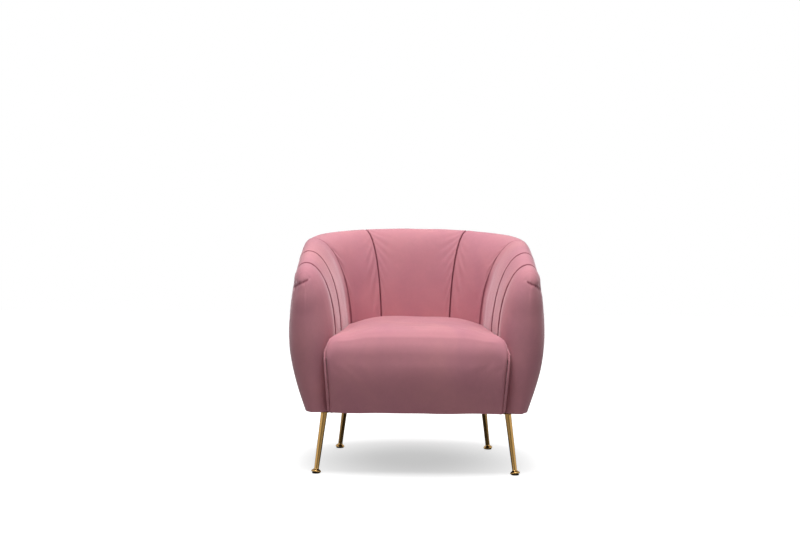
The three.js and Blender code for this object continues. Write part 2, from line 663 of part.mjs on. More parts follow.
function tube(path, diameter, steps, sides) {
  const section = new THREE.Shape();
  for (let i = 0; i < sides; i++) {
    const turn = (2 * Math.PI * i) / sides;
    const corner = [(diameter / 2) * Math.cos(turn), (diameter / 2) * Math.sin(turn)];
    if (i) section.lineTo(...corner);
    else section.moveTo(...corner);
  }
  return new THREE.ExtrudeGeometry(section, { steps, extrudePath: path, bevelEnabled: false });
}

const frameZ = BODY_Z + FIT;
const frameTop = frameZ + RAIL_HEIGHT;
const springMiddleZ = frameTop + FIT + WIRE / 2;
const feltZ = springMiddleZ + SPRING_RISE + WIRE / 2 + FIT;

function buildSeat() {
  const cover = ringMesh(seatRings(0, BODY_Z, SEAT_FOAM_Z), seatRings(SEAT_SKIN, BODY_Z, SEAT_FOAM_Z));
  addPiece("seat_cover", cover, colours.velvet);
  const block = ringMesh(seatRings(SEAT_SKIN + FIT, BODY_Z, SEAT_FOAM_Z), null, BODY_Z + FIT);
  const foamZ = feltZ + FELT + FIT;
  const under = box(-SEAT_HALF, SEAT_HALF, FRONT_RAIL_Y - FIT, RIDGE_HALF, BODY_Z - OVERRUN, foamZ);
  addPiece("seat_foam", cut(block, under, cover), colours.foam);
  const felt = box(-FELT_HALF, FELT_HALF, FELT_FRONT, FELT_BACK, feltZ, feltZ + FELT);
  addPiece("seat_felt", felt, colours.felt);
}

// The frame

// A rib stands on the base rails, fills the wall between the pads and covers, and ends under the top rail.
function sectionRib(run) {
  const stations = [run - RIB / 2, run + RIB / 2].map((place) => stationAt(place));
  const railFoot = stationAt(run + RIB / 2).top - TOP_RAIL_COVER - TOP_RAIL_HEIGHT - FIT * 2;
  const sections = spread(frameTop + FIT, railFoot, RIB_STEPS).map((z) => {
    const inner = stations.map((station) => wallPoint(station, "inner", z, PAD + RIB_CLEAR));
    const outer = stations.map((station) => wallPoint(station, "outer", z, SKIN + RIB_CLEAR));
    return [inner[0], outer[0], outer[1], inner[1]];
  });
  return loft(sections);
}

// One cross-section of the top rail, which runs through the wall under the ridge.
function railSection(run) {
  const { ridge, outward, top } = stationAt(run);
  const high = top - TOP_RAIL_COVER;
  const corner = (out, z) => [Math.max(ridge[0] + outward[0] * out, 0), ridge[1] + outward[1] * out, z];
  return [
    corner(-TOP_RAIL_IN, high - TOP_RAIL_HEIGHT),
    corner(-TOP_RAIL_IN, high),
    corner(TOP_RAIL_OUT, high),
    corner(TOP_RAIL_OUT, high - TOP_RAIL_HEIGHT),
  ];
}

function loft(sections) {
  const count = sections[0].length;
  const index = [];
  for (let s = 0; s + 1 < sections.length; s++) {
    for (let i = 0; i < count; i++) {
      const next = (i + 1) % count;
      const [a, b, c, d] = [s * count + i, s * count + next, (s + 1) * count + next, (s + 1) * count + i];
      index.push(a, b, c, a, c, d);
    }
  }
  const last = (sections.length - 1) * count;
  index.push(0, 2, 1, 0, 3, 2, last, last + 1, last + 2, last, last + 2, last + 3);
  return closedMesh(sections.flat(), index);
}

function buildFrame(screwHoles) {
  const [first, second] = ARM_SEAM_RUNS;
  const frontBack = FRONT_RAIL_Y + RAIL;
  const sideOut = RIDGE_HALF + BASE_SIDE - SKIN - FIT;
  const sideIn = sideOut - RAIL;
  const frontRail = box(-FRONT_RAIL_HALF, FRONT_RAIL_HALF, FRONT_RAIL_Y, frontBack, frameZ, frameTop);
  addPiece("front_rail", cut(frontRail, ...screwHoles.front_left, ...screwHoles.front_right), colours.timber);
  const backRail = box(-BACK_RAIL_HALF, BACK_RAIL_HALF, BACK_RAIL_Y, BACK_RAIL_Y + RAIL, frameZ, frameTop);
  addPiece("back_rail", backRail, colours.timber);
  const blockBack = frontBack + FIT + FRONT_BLOCK_DEPTH;
  const blockOut = sideOut - FRONT_BLOCK_INSET;
  const frontBlock = box(FRONT_BLOCK_INNER, blockOut, frontBack + FIT, blockBack, frameZ, frameTop);
  const sideRail = box(sideIn, sideOut, blockBack + FIT, CORNER_Y - FIT, frameZ, frameTop);
  const blockRuns = spread(BACK_RAIL_HALF + RAIL / 2, CORNER_RUN, 6);
  const backOutline = [
    [BACK_RAIL_HALF + FIT, BACK_BLOCK_Y],
    [BACK_BLOCK_INNER, CORNER_Y],
    ...blockRuns.reverse().map((run) => wallPoint(stationAt(run), "outer", BODY_Z, SKIN + RIB_CLEAR)),
    [BACK_RAIL_HALF + FIT, BACK_RAIL_Y + RAIL],
  ];
  const backBlock = plank(backOutline, frameZ, RAIL_HEIGHT);
  addPair("front_corner_block", cut(frontBlock, ...screwHoles.front_right), colours.timber);
  addPair("side_rail", sideRail, colours.timber);
  addPair("back_corner_block", cut(backBlock, ...screwHoles.back_right), colours.timber);
  addPair("back_rib", sectionRib(BACK_SEAM_RUN), colours.plywood);
  addPair("corner_rib", sectionRib(first), colours.plywood);
  addPair("arm_rib", sectionRib(second), colours.plywood);
  addPair("arm_front_rib", sectionRib(runAtY(ridgeCurve, FRONT_RIB_Y)), colours.plywood);
  const beside = (run) => [run - RIB / 2, run + RIB / 2];
  const armRuns = [first + FIT, first + RIB / 2, ...beside(second), ...beside(runAtY(ridgeCurve, FRONT_RIB_Y))];
  addPair("arm_top_rail", loft(armRuns.map(railSection)), colours.plywood);
  const [ribFrom, ribTo] = beside(BACK_SEAM_RUN);
  const backRuns = [...spread(0, ribFrom, 3), ...spread(ribTo, first - RIB / 2, 5), first];
  const half = backRuns.map(railSection);
  const flip = (section) => section.map(([x, y, z]) => [-x, y, z]);
  addPiece("back_top_rail", loft([...half.slice(1).reverse().map(flip), ...half]), colours.plywood);
}

// The springs wave from side to side as they run from the front rail to the back rail, and arch up between.
function buildSprings() {
  const front = FRONT_RAIL_Y + RAIL - SPRING_BEARING;
  const back = BACK_RAIL_Y + SPRING_BEARING;
  for (let n = 0; n < SPRING_COUNT; n++) {
    const middle = (n - (SPRING_COUNT - 1) / 2) * SPRING_PITCH;
    const path = new THREE.Curve();
    path.getPoint = (share, target = new THREE.Vector3()) => {
      const reach = clamp01(Math.min(share, 1 - share) * SPRING_WAVES * 2);
      const swing = SPRING_SWING * Math.sin(2 * Math.PI * SPRING_WAVES * share) * reach;
      const rise = SPRING_RISE * Math.sin(Math.PI * share);
      return target.set(middle + swing, mix(front, back, share), springMiddleZ + rise);
    };
    addPiece(`seat_spring_${n + 1}`, tube(path, WIRE, SPRING_WAVES * 8, 5), colours.steel);
  }
}

// The legs

// A tapered leg with a domed foot, its plate, and the bore for its glide. outX and outY say which way it splays.
function legParts([topX, topY], outX, outY) {
  const top = new THREE.Vector3(topX, topY, BODY_Z - DUST - PLATE - FIT * 2);
  const foot = new THREE.Vector3(topX + outX * LEG_SPLAY, topY + outY * LEG_SPLAY, GLIDE + FIT);
  const up = top.clone().sub(foot);
  const length = up.length() + PLATE;
  const aim = new THREE.Quaternion().setFromUnitVectors(new THREE.Vector3(0, 1, 0), up.clone().normalize());
  const lathe = (outline, sides) => {
    return new THREE.LatheGeometry(outline.map(([radius, along]) => new THREE.Vector2(radius, along)), sides);
  };
  const shaft = lathe(
    [
      [0, FOOT_HEIGHT / 3],
      [LEG_FOOT_D / 2, FOOT_HEIGHT / 3],
      [LEG_TOP_D / 2, length],
      [0, length],
    ],
    LEG_SIDES,
  );
  const disc = lathe(
    FOOT_PROFILE_SHARES.map(([wide, tall]) => [(FOOT_D / 2) * wide, FOOT_HEIGHT * tall]),
    LEG_SIDES,
  );
  const [plateX, plateY] = [topX - outX * PLATE_INWARD, topY - outY * PLATE_INWARD];
  const plate = upright(PLATE_D, top.z, top.z + PLATE, plateX, plateY, PLATE_SIDES);
  const bore = upright(LEG_BORE_D, 0, foot.z + LEG_BORE_DEPTH, foot.x, foot.y);
  const above = box(topX - PLATE_D, topX + PLATE_D, topY - PLATE_D, topY + PLATE_D, top.z + PLATE / 2, HEIGHT);
  const solid = toSolid(shaft.applyQuaternion(aim).translate(foot.x, foot.y, foot.z))
    .subtract(toSolid(above))
    .add(toSolid(disc.rotateX(Math.PI / 2).translate(foot.x, foot.y, foot.z)))
    .add(toSolid(plate))
    .subtract(toSolid(bore));
  return { solid, foot, plateX, plateY, plateZ: top.z };
}

function screwAt(x, y, plateZ) {
  const radius = SCREW_D / 2;
  const profile = [
    [0, 0],
    [SCREW_HEAD_D / 2, SCREW_HEAD / 3],
    [SCREW_HEAD_D / 2, SCREW_HEAD],
    [radius, SCREW_HEAD],
    [radius, SCREW_HEAD + SCREW_LENGTH - radius],
    [0, SCREW_HEAD + SCREW_LENGTH],
  ].map(([r, z]) => new THREE.Vector2(r, z));
  return new THREE.LatheGeometry(profile, 10).rotateX(Math.PI / 2).translate(x, y, plateZ - FIT - SCREW_HEAD);
}

function buildLegs() {
  const [frontX, frontY] = LEG_TOP_FRONT;
  const [backX, backY] = LEG_TOP_BACK;
  const legs = {
    front_right: [[frontX, frontY], 1, -1],
    front_left: [[-frontX, frontY], -1, -1],
    back_right: [[backX, backY], 1, 1],
    back_left: [[-backX, backY], -1, 1],
  };
  const screwHoles = {};
  const screwPlaces = [];
  for (const [name, [top, outX, outY]] of Object.entries(legs)) {
    const { solid, foot, plateX, plateY, plateZ } = legParts(top, outX, outY);
    screwHoles[name] = [];
    for (const [i, side] of [1, -1].entries()) {
      const x = plateX - (SCREW_CIRCLE * outX * side) / Math.SQRT2;
      const y = plateY + (SCREW_CIRCLE * outY * side) / Math.SQRT2;
      screwHoles[name].push(upright(SCREW_D + FIT * 2, plateZ - OVERRUN, plateZ + SCREW_LENGTH + OVERRUN, x, y));
      screwPlaces.push([x, y]);
      addPiece(`leg_screw_${name}_${i + 1}`, screwAt(x, y, plateZ), colours.steel);
    }
    addPiece(`leg_${name}`, cut(toGeometry(solid), ...screwHoles[name]), colours.brass);
    const pad = toSolid(upright(GLIDE_D, 0, GLIDE, foot.x, foot.y, LEG_SIDES));
    const stem = toSolid(upright(LEG_BORE_D - FIT * 2, GLIDE / 2, GLIDE + GLIDE_STEM, foot.x, foot.y));
    addPiece(`glide_${name}`, toGeometry(pad.add(stem)), colours.plastic);
  }
  return { screwHoles, screwPlaces };
}

function buildDustCover(screwPlaces) {
  const half = spread(0, CAP_RUN, 14).map((run) => wallPoint(stationAt(run), "outer", BODY_Z, DUST_INSET));
  for (const cap of DUST_CAP_SHARES) half.push(wallPoint(stationAt(CAP_RUN, cap), "outer", BODY_Z, DUST_INSET));
  const front = BODY_FRONT + SEAT_FRONT_SLOPE + DUST_FRONT_INSET;
  half.push([SEAT_HALF, front]);
  const outline = [...half, ...half.slice(1).reverse().map(([x, y]) => [-x, y])];
  const sheet = plank(outline, BODY_Z - DUST - FIT, DUST);
  const holes = screwPlaces.map(([x, y]) => upright(SCREW_D + FIT * 2, BODY_Z - OVERRUN, BODY_Z + OVERRUN, x, y));
  addPiece("dust_cover", cut(sheet, ...holes), colours.lining);
}

buildUpholstery();
buildSeat();
const { screwHoles, screwPlaces } = buildLegs();
buildFrame(screwHoles);
buildSprings();
const piping = tube(new THREE.CatmullRomCurve3(seatPipingPath()), PIPING, 18, 8);
addPair("seat_piping", piping, colours.velvet);
buildDustCover(screwPlaces);

export default chair;
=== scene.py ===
"""A velvet tub armchair with pleated arms on four slim metal legs, dressed from its solid model.

The wall of the tub is one smooth shape, worked out here as in the solid model. Its ridge runs from
the middle of the back round to the nose of each arm, and every pad and cover is cut from it.
All sizes are metres.
"""

import math

import bmesh
import bpy
import numpy as np
from bpy.props import FloatProperty, FloatVectorProperty, IntProperty, PointerProperty
from mathutils import Matrix, Vector


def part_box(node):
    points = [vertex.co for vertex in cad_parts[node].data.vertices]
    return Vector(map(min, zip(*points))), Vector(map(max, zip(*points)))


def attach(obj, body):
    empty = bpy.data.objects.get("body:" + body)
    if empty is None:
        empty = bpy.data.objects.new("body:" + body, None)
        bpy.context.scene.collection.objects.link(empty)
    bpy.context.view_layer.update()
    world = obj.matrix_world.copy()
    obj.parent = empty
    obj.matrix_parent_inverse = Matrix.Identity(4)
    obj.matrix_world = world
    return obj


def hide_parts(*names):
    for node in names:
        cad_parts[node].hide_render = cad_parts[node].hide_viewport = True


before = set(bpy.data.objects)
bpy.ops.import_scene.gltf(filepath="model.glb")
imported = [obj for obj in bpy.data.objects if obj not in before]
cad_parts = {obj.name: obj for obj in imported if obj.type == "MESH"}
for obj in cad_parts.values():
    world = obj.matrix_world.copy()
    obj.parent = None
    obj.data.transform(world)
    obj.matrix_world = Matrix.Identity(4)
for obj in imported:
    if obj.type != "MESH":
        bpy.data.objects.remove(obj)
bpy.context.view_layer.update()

bl_info = {
    "name": "Tub armchair upholstery",
    "version": (1, 0, 0),
    "blender": (4, 5, 0),
    "location": "3D View > Sidebar > Armchair",
    "description": "Builds the velvet pads, covers, piping and metal legs of a tub armchair",
    "category": "Add Mesh",
}

SIDES = (("right", 1), ("left", -1))
QUARTER = math.pi / 2
UPWARDS = Vector((0, 0, 1))

# The body and the ridge of the wall, seen from above
HEIGHT = 0.753
BODY_Z = 0.188
BODY_FRONT = -0.350
RIDGE_HALF = 0.340
CORNER_Y = 0.020
RIDGE_DEPTH = 0.240
PLAN_POWER = 2.5
CAP_Y = -0.245

# The inner foot of the wall, at seat level
FOOT_HALF = 0.222
FOOT_DEPTH = 0.140
FOOT_FLARE = 0.025
FOOT_FLARE_POWER = 1.25
FOOT_Z = 0.400

# The wall's outer face, measured outwards from the ridge
SHOULDER_OUT = 0.034
SHOULDER_DROP = 0.045
BULGE_FRONT = 0.052
BULGE_SIDE = 0.068
BULGE_BACK = 0.090
BULGE_Z = 0.418
BASE_SIDE = 0.001
BASE_BACK = 0.020

# The fall of the ridge to the third arm seam, and the nose of the arm in front of it
RIM_DROP = 0.114
RIM_POWER = 2.2
NOSE_LOW = 0.077
NOSE_BELLY = 0.023
NOSE_FALL = 0.028
NOSE_DROP = 0.012
NOSE_LEAN = 0.030

# Sewn seams, and the thickness of what they join
BACK_SEAM_RUN = 0.176
BACK_SEAM_FOOT_RUN = 0.113
ARM_SEAM_Y = (0.060, -0.120, -0.232)
ARM_SEAM_FOOT_Y = (0.088, -0.120, -0.232)
SEAM_GAP = 0.0002
PAD = 0.028
SKIN = 0.006
PAD_FOOT_Z = 0.306
FRONT_RAIL_Y = -0.285

# How filling and stitching shape a pad. A scale is in waves to a metre
FULL_POWER = 0.8
SEAM_SHADE_POWER = 0.7
GATHER_REACH = 0.022
RIPPLE_SCALE = 13
RIPPLE_CLEAR = 0.030
PUCKER_SCALE = 75
PUCKER_CLEAR = 0.004
PUCKER_SEED = 5
BLOWN_SHARE = 1.5
CLOTH_FRAMES = 20
SEAM_START = 0.001
SWELL_WAVES = 14
PAD_FILL = 0.8
COVER_FILL = 0.9

# How finely the pads are drawn
WELD = 1e-5
SHARP_ANGLE = math.radians(50)
FACE_SAMPLES = 160
CROWDING = 0.6
RIM_CROWDING = 0.8
LEAST_COLUMNS = 9
PAD_LENGTH = 0.50
PANEL_LENGTH = 0.46
PANEL_COLUMNS_APART = 1.3
PANEL_ROWS_APART = 1.2

# How far the painted seam shade reaches from a seam, in rolls of the seam. The pleats and the arm
# fronts have it DEEP times wider up to DEEP_SHARE of their height, which paints their lower part
# darker, and it fades over DEEP_FADE from there
BACK_SHADE_REACH = 0.4
SIDE_SHADE_REACH = 0.8
PLEAT_SHADE_REACH = 1.1
PLEAT_DEEP = 2.2
DEEP_SHARE = 0.45
DEEP_FADE = 0.3
ARM_SHADE_REACH = 1.2
ARM_DEEP = 1.9
ARM_DEEP_SHARE = 0.2

# The arm's front pad. The dart is a line on the nose of the right arm, from the outside inwards
DART = np.array([
    (0.3775, -0.2600, 0.5600),
    (0.3680, -0.2935, 0.5668),
    (0.3555, -0.3128, 0.5731),
    (0.3428, -0.3191, 0.5790),
    (0.3309, -0.3172, 0.5846),
    (0.3215, -0.3090, 0.5912),
])
DART_FADE = 0.012
DART_FADE_LEAST = 0.05
DART_NARROW = 1.3
NOSE_ROUND = 0.060
NOSE_BLUR = 0.008
NOSE_ROUNDS = 3
NOSE_TURN = 0.13
ARM_LENGTH = 0.92
ARM_COLUMNS_APART = 0.75
ARM_ROWS_APART = 1.2
FOOT_DIPS_Y = (0.287, 0.296)

# Seat
SEAT_HALF = 0.271
SEAT_CLEAR = 0.0006
NOSE_CLEAR = 0.003
SEAT_CORNER = 0.012
SEAT_EDGE_FRONT_Z = 0.437
SEAT_EDGE_BACK_Z = 0.454
SEAT_CROWN = 0.012
SEAT_SHOULDER_X = 0.145
SEAT_SHOULDER_RUN = 0.080
SEAT_SHOULDER_DROP = 0.014
SEAT_TIP_X = 0.232
SEAT_TIP_DROP = 0.016
WATERFALL_RUN = 0.085
WATERFALL_DROP = 0.092
SEAT_SIDE_ROUND = 0.014
SEAT_FRONT_SLOPE = 0.025
SEAT_FRONT_BEND = 1.7
SEAT_FRONT_TAPER = 0.010
SEAT_FOAM_Z = 0.304
SEAT_STATIONS = 120
SEAT_NOSE_SHARE = 1 / 3
SEAT_CORNER_STEPS = 9
SEAT_RINGS = 58
SEAT_RINGS_START = 0.02
SEAT_RINGS_POWER = 1.25
SKIRT_ROWS = 28
SKIRT_BEFORE_RAIL = 0.005
SKIRT_SLACK = 0.0003

# Where the stuffed seat is free to swell, and how slack its cover starts
SEAT_FRAMES = 12
SLACK_SHARE = 0.85
FACING_LEAST = 0.3
FACING_RANGE = 0.5
HELD_SIDE = 0.006
FREE_SIDE = 0.040
HELD_FOOT = 0.003
FREE_FOOT = 0.030
HELD_SHARE = 0.01
RUFFLE = 1.4
RUFFLE_SCALE = 11
RUFFLE_MARGIN = 0.010
RUFFLE_FADE = 0.050

# Piping
PIPING_TURN = math.pi / 6
PIPING_CAPS = (0.30, 0.42, 0.54, 0.64)
PIPING_RISE = (-0.014, -0.010, -0.006, -0.003)
PIPING_SHARES = (0.82, 0.87, 0.92, 0.96)
PIPING_ASIDE = 0.001
PIPING_CLEAR = 0.0003
PIPING_STEPS = 8
PIPING_DOWN_STEPS = 7
PIPING_SIDES = 14
PIPING_ENDS = (0.55, 0.85, 1)
PIPING_WRAP = 0.02
PIPING_WRAP_TURN = 1.1

# Felt
FELT_STEPS = 60
FELT_ROUND = 0.0008
FELT_EDGE = 0.03
FELT_CLEAR = 0.0003
FELT_UNEVEN = 0.0006
FELT_SCALE = 40

# Legs
LEG_TOPS = {"front": (0.279, -0.266, -1), "back": (0.230, 0.198, 1)}
LEG_SPLAY = 0.022
LEG_TOP_D = 0.020
LEG_FOOT_D = 0.0146
FOOT_D = 0.030
FOOT_HEIGHT = 0.011
PLATE = 0.003
PLATE_D = 0.056
PLATE_INWARD = 0.009
PLATE_UNDER_Z = 0.1829
PLATE_ROUND = 0.0008
PLATE_BEVEL = 0.0004
LEG_COLLAR = 0.0002
LEG_COLLAR_LOW = 1.08
LEG_COLLAR_TOP = 1.25
LEG_SHARES = (0.2, 0.4, 0.6, 0.8, 1)
GLIDE_TOP_Z = 0.0033
GLIDE = ((0.0108, 0), (0.0116, 0.0002), (0.012, 0.0007), (0.012, 0.0024), (0.0115, 0.003))
FOOT_DOME = (
    (0.8, 0),
    (0.9, 0.03),
    (0.97, 0.12),
    (1, 0.27),
    (0.98, 0.38),
    (0.92, 0.5),
    (0.82, 0.62),
    (0.7, 0.73),
    (0.6, 0.83),
    (0.53, 0.93),
)

# Dust cover
DUST_Z = 0.1864
DUST_INSET = 0.012
DUST_FRONT_INSET = 0.024
DUST_SAG = 0.007
DUST_THICK = 0.0006
DUST_STATIONS = 30
DUST_CAPS = (0.4, 0.65, 0.82, 0.95)
DUST_RINGS = 45
DUST_SLOPE = 0.6
DUST_PLATE_HELD = 0.030
DUST_PLATE_FREE = 0.090
DUST_WRINKLE = 0.0006
DUST_SCALE = 30

# Studio
FLOOR_HALF = 9
KEY_SIZE = 2.6
KEY_PLACE = (-0.15, -0.8, 4.2)
KEY_AIM = (0, -0.05, 0.45)
RIM_SIZE = 1.8
RIM_PLACE = (0.4, 2.2, 2.3)
RIM_AIM = (0, 0, 0.5)
SENSOR_MM = 36.0
LENS_MM = 59.94
CAMERA_PLACE = (-0.050, -4.305, 0.692)
CAMERA_YAW = math.radians(0.043)
CAMERA_TILT = math.radians(90 - 0.925)
CAMERA_ROLL = math.radians(0.55)

# Seeds of the unevenness, the first of each kind of piece
SEEDS = {
    "back": 1,
    "back_side": 2,
    "pleat": 4,
    "arm_front": 8,
    "outside_back": 11,
    "outside_arm": 12,
    "seat": 21,
    "felt": 31,
    "dust": 41,
}


# The sizes and colours that a user would change


class ChairCloth(bpy.types.PropertyGroup):
    """How the velvet is filled and sewn."""

    spacing: FloatProperty(
        name="Mesh spacing", description="Distance between the points of a pad",
        default=0.005, unit="LENGTH",
    )
    back_puff: FloatProperty(
        name="Back fullness", description="Rise of a back pad between its seams",
        default=0.004, unit="LENGTH",
    )
    seat_puff: FloatProperty(
        name="Seat puff", description="How far the seat swells when it is stuffed",
        default=0.008, min=0, unit="LENGTH",
    )
    pleat_puff: FloatProperty(
        name="Pleat fullness", description="Rise of an arm pleat between its seams",
        default=0.003, unit="LENGTH",
    )
    seam_depth: FloatProperty(
        name="Seam depth", description="How deep a sewn seam pulls the velvet in",
        default=0.005, unit="LENGTH",
    )
    seam_width: FloatProperty(
        name="Seam roll", description="Width over which the velvet rolls into a seam",
        default=0.0055, unit="LENGTH",
    )
    pressure: FloatProperty(
        name="Stuffing pressure", description="How hard the stuffing pushes at the velvet",
        default=4.0, min=0.0,
    )
    ripple: FloatProperty(
        name="Ripple", description="Height of the soft unevenness in the padding",
        default=0.0009, unit="LENGTH",
    )
    pucker: FloatProperty(
        name="Pucker", description="Height of the small gathers beside a seam",
        default=0.0004, unit="LENGTH",
    )
    piping: FloatProperty(
        name="Piping", description="Diameter of the piping beside the seat's front",
        default=0.007, unit="LENGTH",
    )


class ChairColours(bpy.types.PropertyGroup):
    """The colours of what shows."""

    velvet: FloatVectorProperty(
        name="Velvet", description="Colour of the velvet pile",
        default=(0.525, 0.217, 0.259), subtype="COLOR", size=3,
    )
    sheen: FloatVectorProperty(
        name="Velvet sheen", description="Colour of the pile where it is seen edge on",
        default=(1.0, 0.88, 0.92), subtype="COLOR", size=3,
    )
    # Painted shade: the dark maroon painted into the seams in place of the shade of their grooves.
    seam: FloatVectorProperty(
        name="Seam", description="Colour of the velvet deep in a seam",
        default=(0.13, 0.018, 0.035), subtype="COLOR", size=3,
    )
    metal: FloatVectorProperty(
        name="Leg metal", description="Colour of the polished legs",
        default=(0.56, 0.335, 0.115), subtype="COLOR", size=3,
    )


class ChairStudio(bpy.types.PropertyGroup):
    """The lights round the chair."""

    key: FloatProperty(
        name="Key light", description="Power of the light above the front, in watts",
        default=198.0, min=0.0,
    )
    rim: FloatProperty(
        name="Rim light", description="Power of the light above the back, in watts",
        default=12.0, min=0.0,
    )
    sky: FloatProperty(
        name="Room light", description="Strength of the even light all round",
        default=0.2, min=0.0,
    )
    mirrored: FloatProperty(
        name="Mirrored room", description="Brightness of the room as the metal mirrors it",
        default=0.65, min=0.0,
    )
    leg_sides: IntProperty(
        name="Leg sides", description="Sides of a turned leg",
        default=48, min=12,
    )


# The shape of the wall


def clamp01(value):
    return np.clip(value, 0.0, 1.0)


def ease(share):
    share = clamp01(share)
    return share**2 * (3 - 2 * share)


def blend(a, b, share):
    return a + (b - a) * share


class PlanCurve:
    """A line in plan from the middle of the back, round the corner and along the arm."""

    def __init__(self, half, depth, flare, samples=400):
        turn = QUARTER * (1 - np.arange(samples + 1) / samples)
        along = np.arange(1, samples + 1) / samples
        around_x = half * np.clip(np.cos(turn), 0, None) ** (2 / PLAN_POWER)
        around_y = CORNER_Y + depth * np.clip(np.sin(turn), 0, None) ** (2 / PLAN_POWER)
        arm_x = half + flare * along**FOOT_FLARE_POWER
        arm_y = blend(CORNER_Y, CAP_Y, along)
        self.points = np.column_stack([np.append(around_x, arm_x), np.append(around_y, arm_y)])
        steps = np.linalg.norm(np.diff(self.points, axis=0), axis=1)
        self.runs = np.append(0, np.cumsum(steps))
        heading = np.gradient(self.points, self.runs, axis=0)
        heading /= np.linalg.norm(heading, axis=1)[:, None]
        self.outward = np.column_stack([-heading[:, 1], heading[:, 0]])
        self.outward[0] = (0, 1)
        self.end = self.runs[-1]

    def at(self, run, rows=None):
        rows = self.points if rows is None else rows
        return np.column_stack([np.interp(run, self.runs, rows[:, k]) for k in (0, 1)])

    def run_at_y(self, y):
        on_side = self.points[:, 0] > self.points[:, 1]
        return float(np.interp(-y, -self.points[on_side, 1], self.runs[on_side]))


RIDGE = PlanCurve(RIDGE_HALF, RIDGE_DEPTH, 0)
FOOT = PlanCurve(FOOT_HALF, FOOT_DEPTH, FOOT_FLARE)
ARM_SEAM_RUNS = [RIDGE.run_at_y(y) for y in ARM_SEAM_Y]
SEAM_RUNS = [0, BACK_SEAM_RUN, *ARM_SEAM_RUNS, RIDGE.end]
SEAM_FOOT_RUNS = [0, BACK_SEAM_FOOT_RUN, *[FOOT.run_at_y(y) for y in ARM_SEAM_FOOT_Y], FOOT.end]


class Stations:
    """Places along the ridge, each with the wall's section there.

    cap goes from 0 to 1 round the nose of an arm.
    """

    def __init__(self, runs, caps=None):
        runs = np.asarray(runs, float)
        self.flip = np.where(runs < 0, -1.0, 1.0)
        runs = np.abs(runs)
        self.cap = np.zeros(len(runs)) if caps is None else np.asarray(caps, float)
        self.ridge = RIDGE.at(runs)
        self.outward = RIDGE.at(runs, RIDGE.outward)
        self.outward /= np.linalg.norm(self.outward, axis=1)[:, None]
        foot_runs = np.interp(runs, SEAM_RUNS, SEAM_FOOT_RUNS)
        self.foot = FOOT.at(foot_runs)
        self.foot_outward = FOOT.at(foot_runs, FOOT.outward)
        self.foot_outward /= np.linalg.norm(self.foot_outward, axis=1)[:, None]
        self.narrowing = np.sqrt(np.clip(1 - self.cap**2, 0, None))
        to_back = ease(self.outward[:, 1])
        side = blend(BULGE_FRONT, BULGE_SIDE, ease((self.ridge[:, 1] - CAP_Y) / (CORNER_Y - CAP_Y)))
        fall = RIM_DROP * (runs / ARM_SEAM_RUNS[2]) ** RIM_POWER
        self.top = HEIGHT - fall - NOSE_FALL * self.cap - NOSE_DROP * (1 - self.narrowing)
        self.bulge = blend(side, BULGE_BACK, to_back)
        self.base = blend(BASE_SIDE, BASE_BACK, to_back)

    def points(self, side, z, inset=0.0):
        """Points of one face of the wall, a row for each station and a column for each height."""
        top, bulge, base = self.top[:, None], self.bulge[:, None], self.base[:, None]
        across = self.foot - self.ridge
        reach = np.linalg.norm(across, axis=1)[:, None]
        if side == "inner":
            climb = clamp01((z - FOOT_Z) / (top - inset - FOOT_Z))
            offset = (reach - inset) * np.sqrt(1 - climb**2)
        else:
            shoulder = top - SHOULDER_DROP
            climb = clamp01((z - shoulder) / (SHOULDER_DROP - inset))
            over = (SHOULDER_OUT - inset) * np.sqrt(1 - climb**2)
            above = np.cos(QUARTER * (z - BULGE_Z) / (shoulder - BULGE_Z))
            below = np.sin(QUARTER * (z - BODY_Z) / (BULGE_Z - BODY_Z))
            high = blend(SHOULDER_OUT, bulge, above) - inset
            low = blend(base, bulge, below) - inset
            offset = np.where(z >= shoulder, over, np.where(z >= BULGE_Z, high, low))
        if side == "inner":
            x = self.ridge[:, :1] + across[:, :1] / reach * offset
            y = self.ridge[:, 1:] + across[:, 1:] / reach * offset
        else:
            x = self.ridge[:, :1] + self.outward[:, :1] * offset
            y = self.ridge[:, 1:] + self.outward[:, 1:] * offset
        height = clamp01((z - BODY_Z) / (top - BODY_Z))
        lean = -NOSE_LEAN * (1 - height)
        signed = -offset if side == "inner" else offset
        length = NOSE_LOW + NOSE_BELLY * np.sin(math.pi * height) - inset
        cap = self.cap[:, None]
        x = np.where(cap > 0, RIDGE_HALF + lean + (signed - lean) * self.narrowing[:, None], x)
        y = np.where(cap > 0, CAP_Y - length * cap, y)
        return np.stack([x * self.flip[:, None], y, z + 0 * x], axis=-1)

    def arch(self, rows, inset=0.0, inner_low=PAD_FOOT_Z, outer_low=None, outer_inset=None):
        """Evenly spaced points up the inner face, over the ridge and down the outer face."""
        inner_low = np.broadcast_to(inner_low, self.top.shape)[:, None]
        shoulder = self.top[:, None] - SHOULDER_DROP
        share = np.linspace(0, 1, FACE_SAMPLES)[None, :]
        curl = np.sin(QUARTER * share)
        up = blend(inner_low, self.top[:, None] - inset, np.sin(QUARTER * share**RIM_CROWDING))
        inside = self.points("inner", up, inset)
        over = blend(shoulder, self.top[:, None] - inset, curl)
        outside = self.points("outer", over, inset)[:, ::-1]
        columns = [inside, outside[:, 1:]]
        if outer_low is not None:
            down = blend(shoulder, outer_low, share)
            depth = inset if outer_inset is None else outer_inset[:, None]
            columns.append(self.points("outer", down, depth)[:, 1:])
        return respace(np.concatenate(columns, axis=1), rows)

    def panel(self, rows, inset=0.0, low=BODY_Z):
        """Columns of points up the outer face, from its foot to the seam at the shoulder."""
        share = np.linspace(0, 1, FACE_SAMPLES)[None, :]
        heights = blend(low, self.top[:, None] - SHOULDER_DROP - SEAM_GAP, share)
        return respace(self.points("outer", heights, inset), rows)


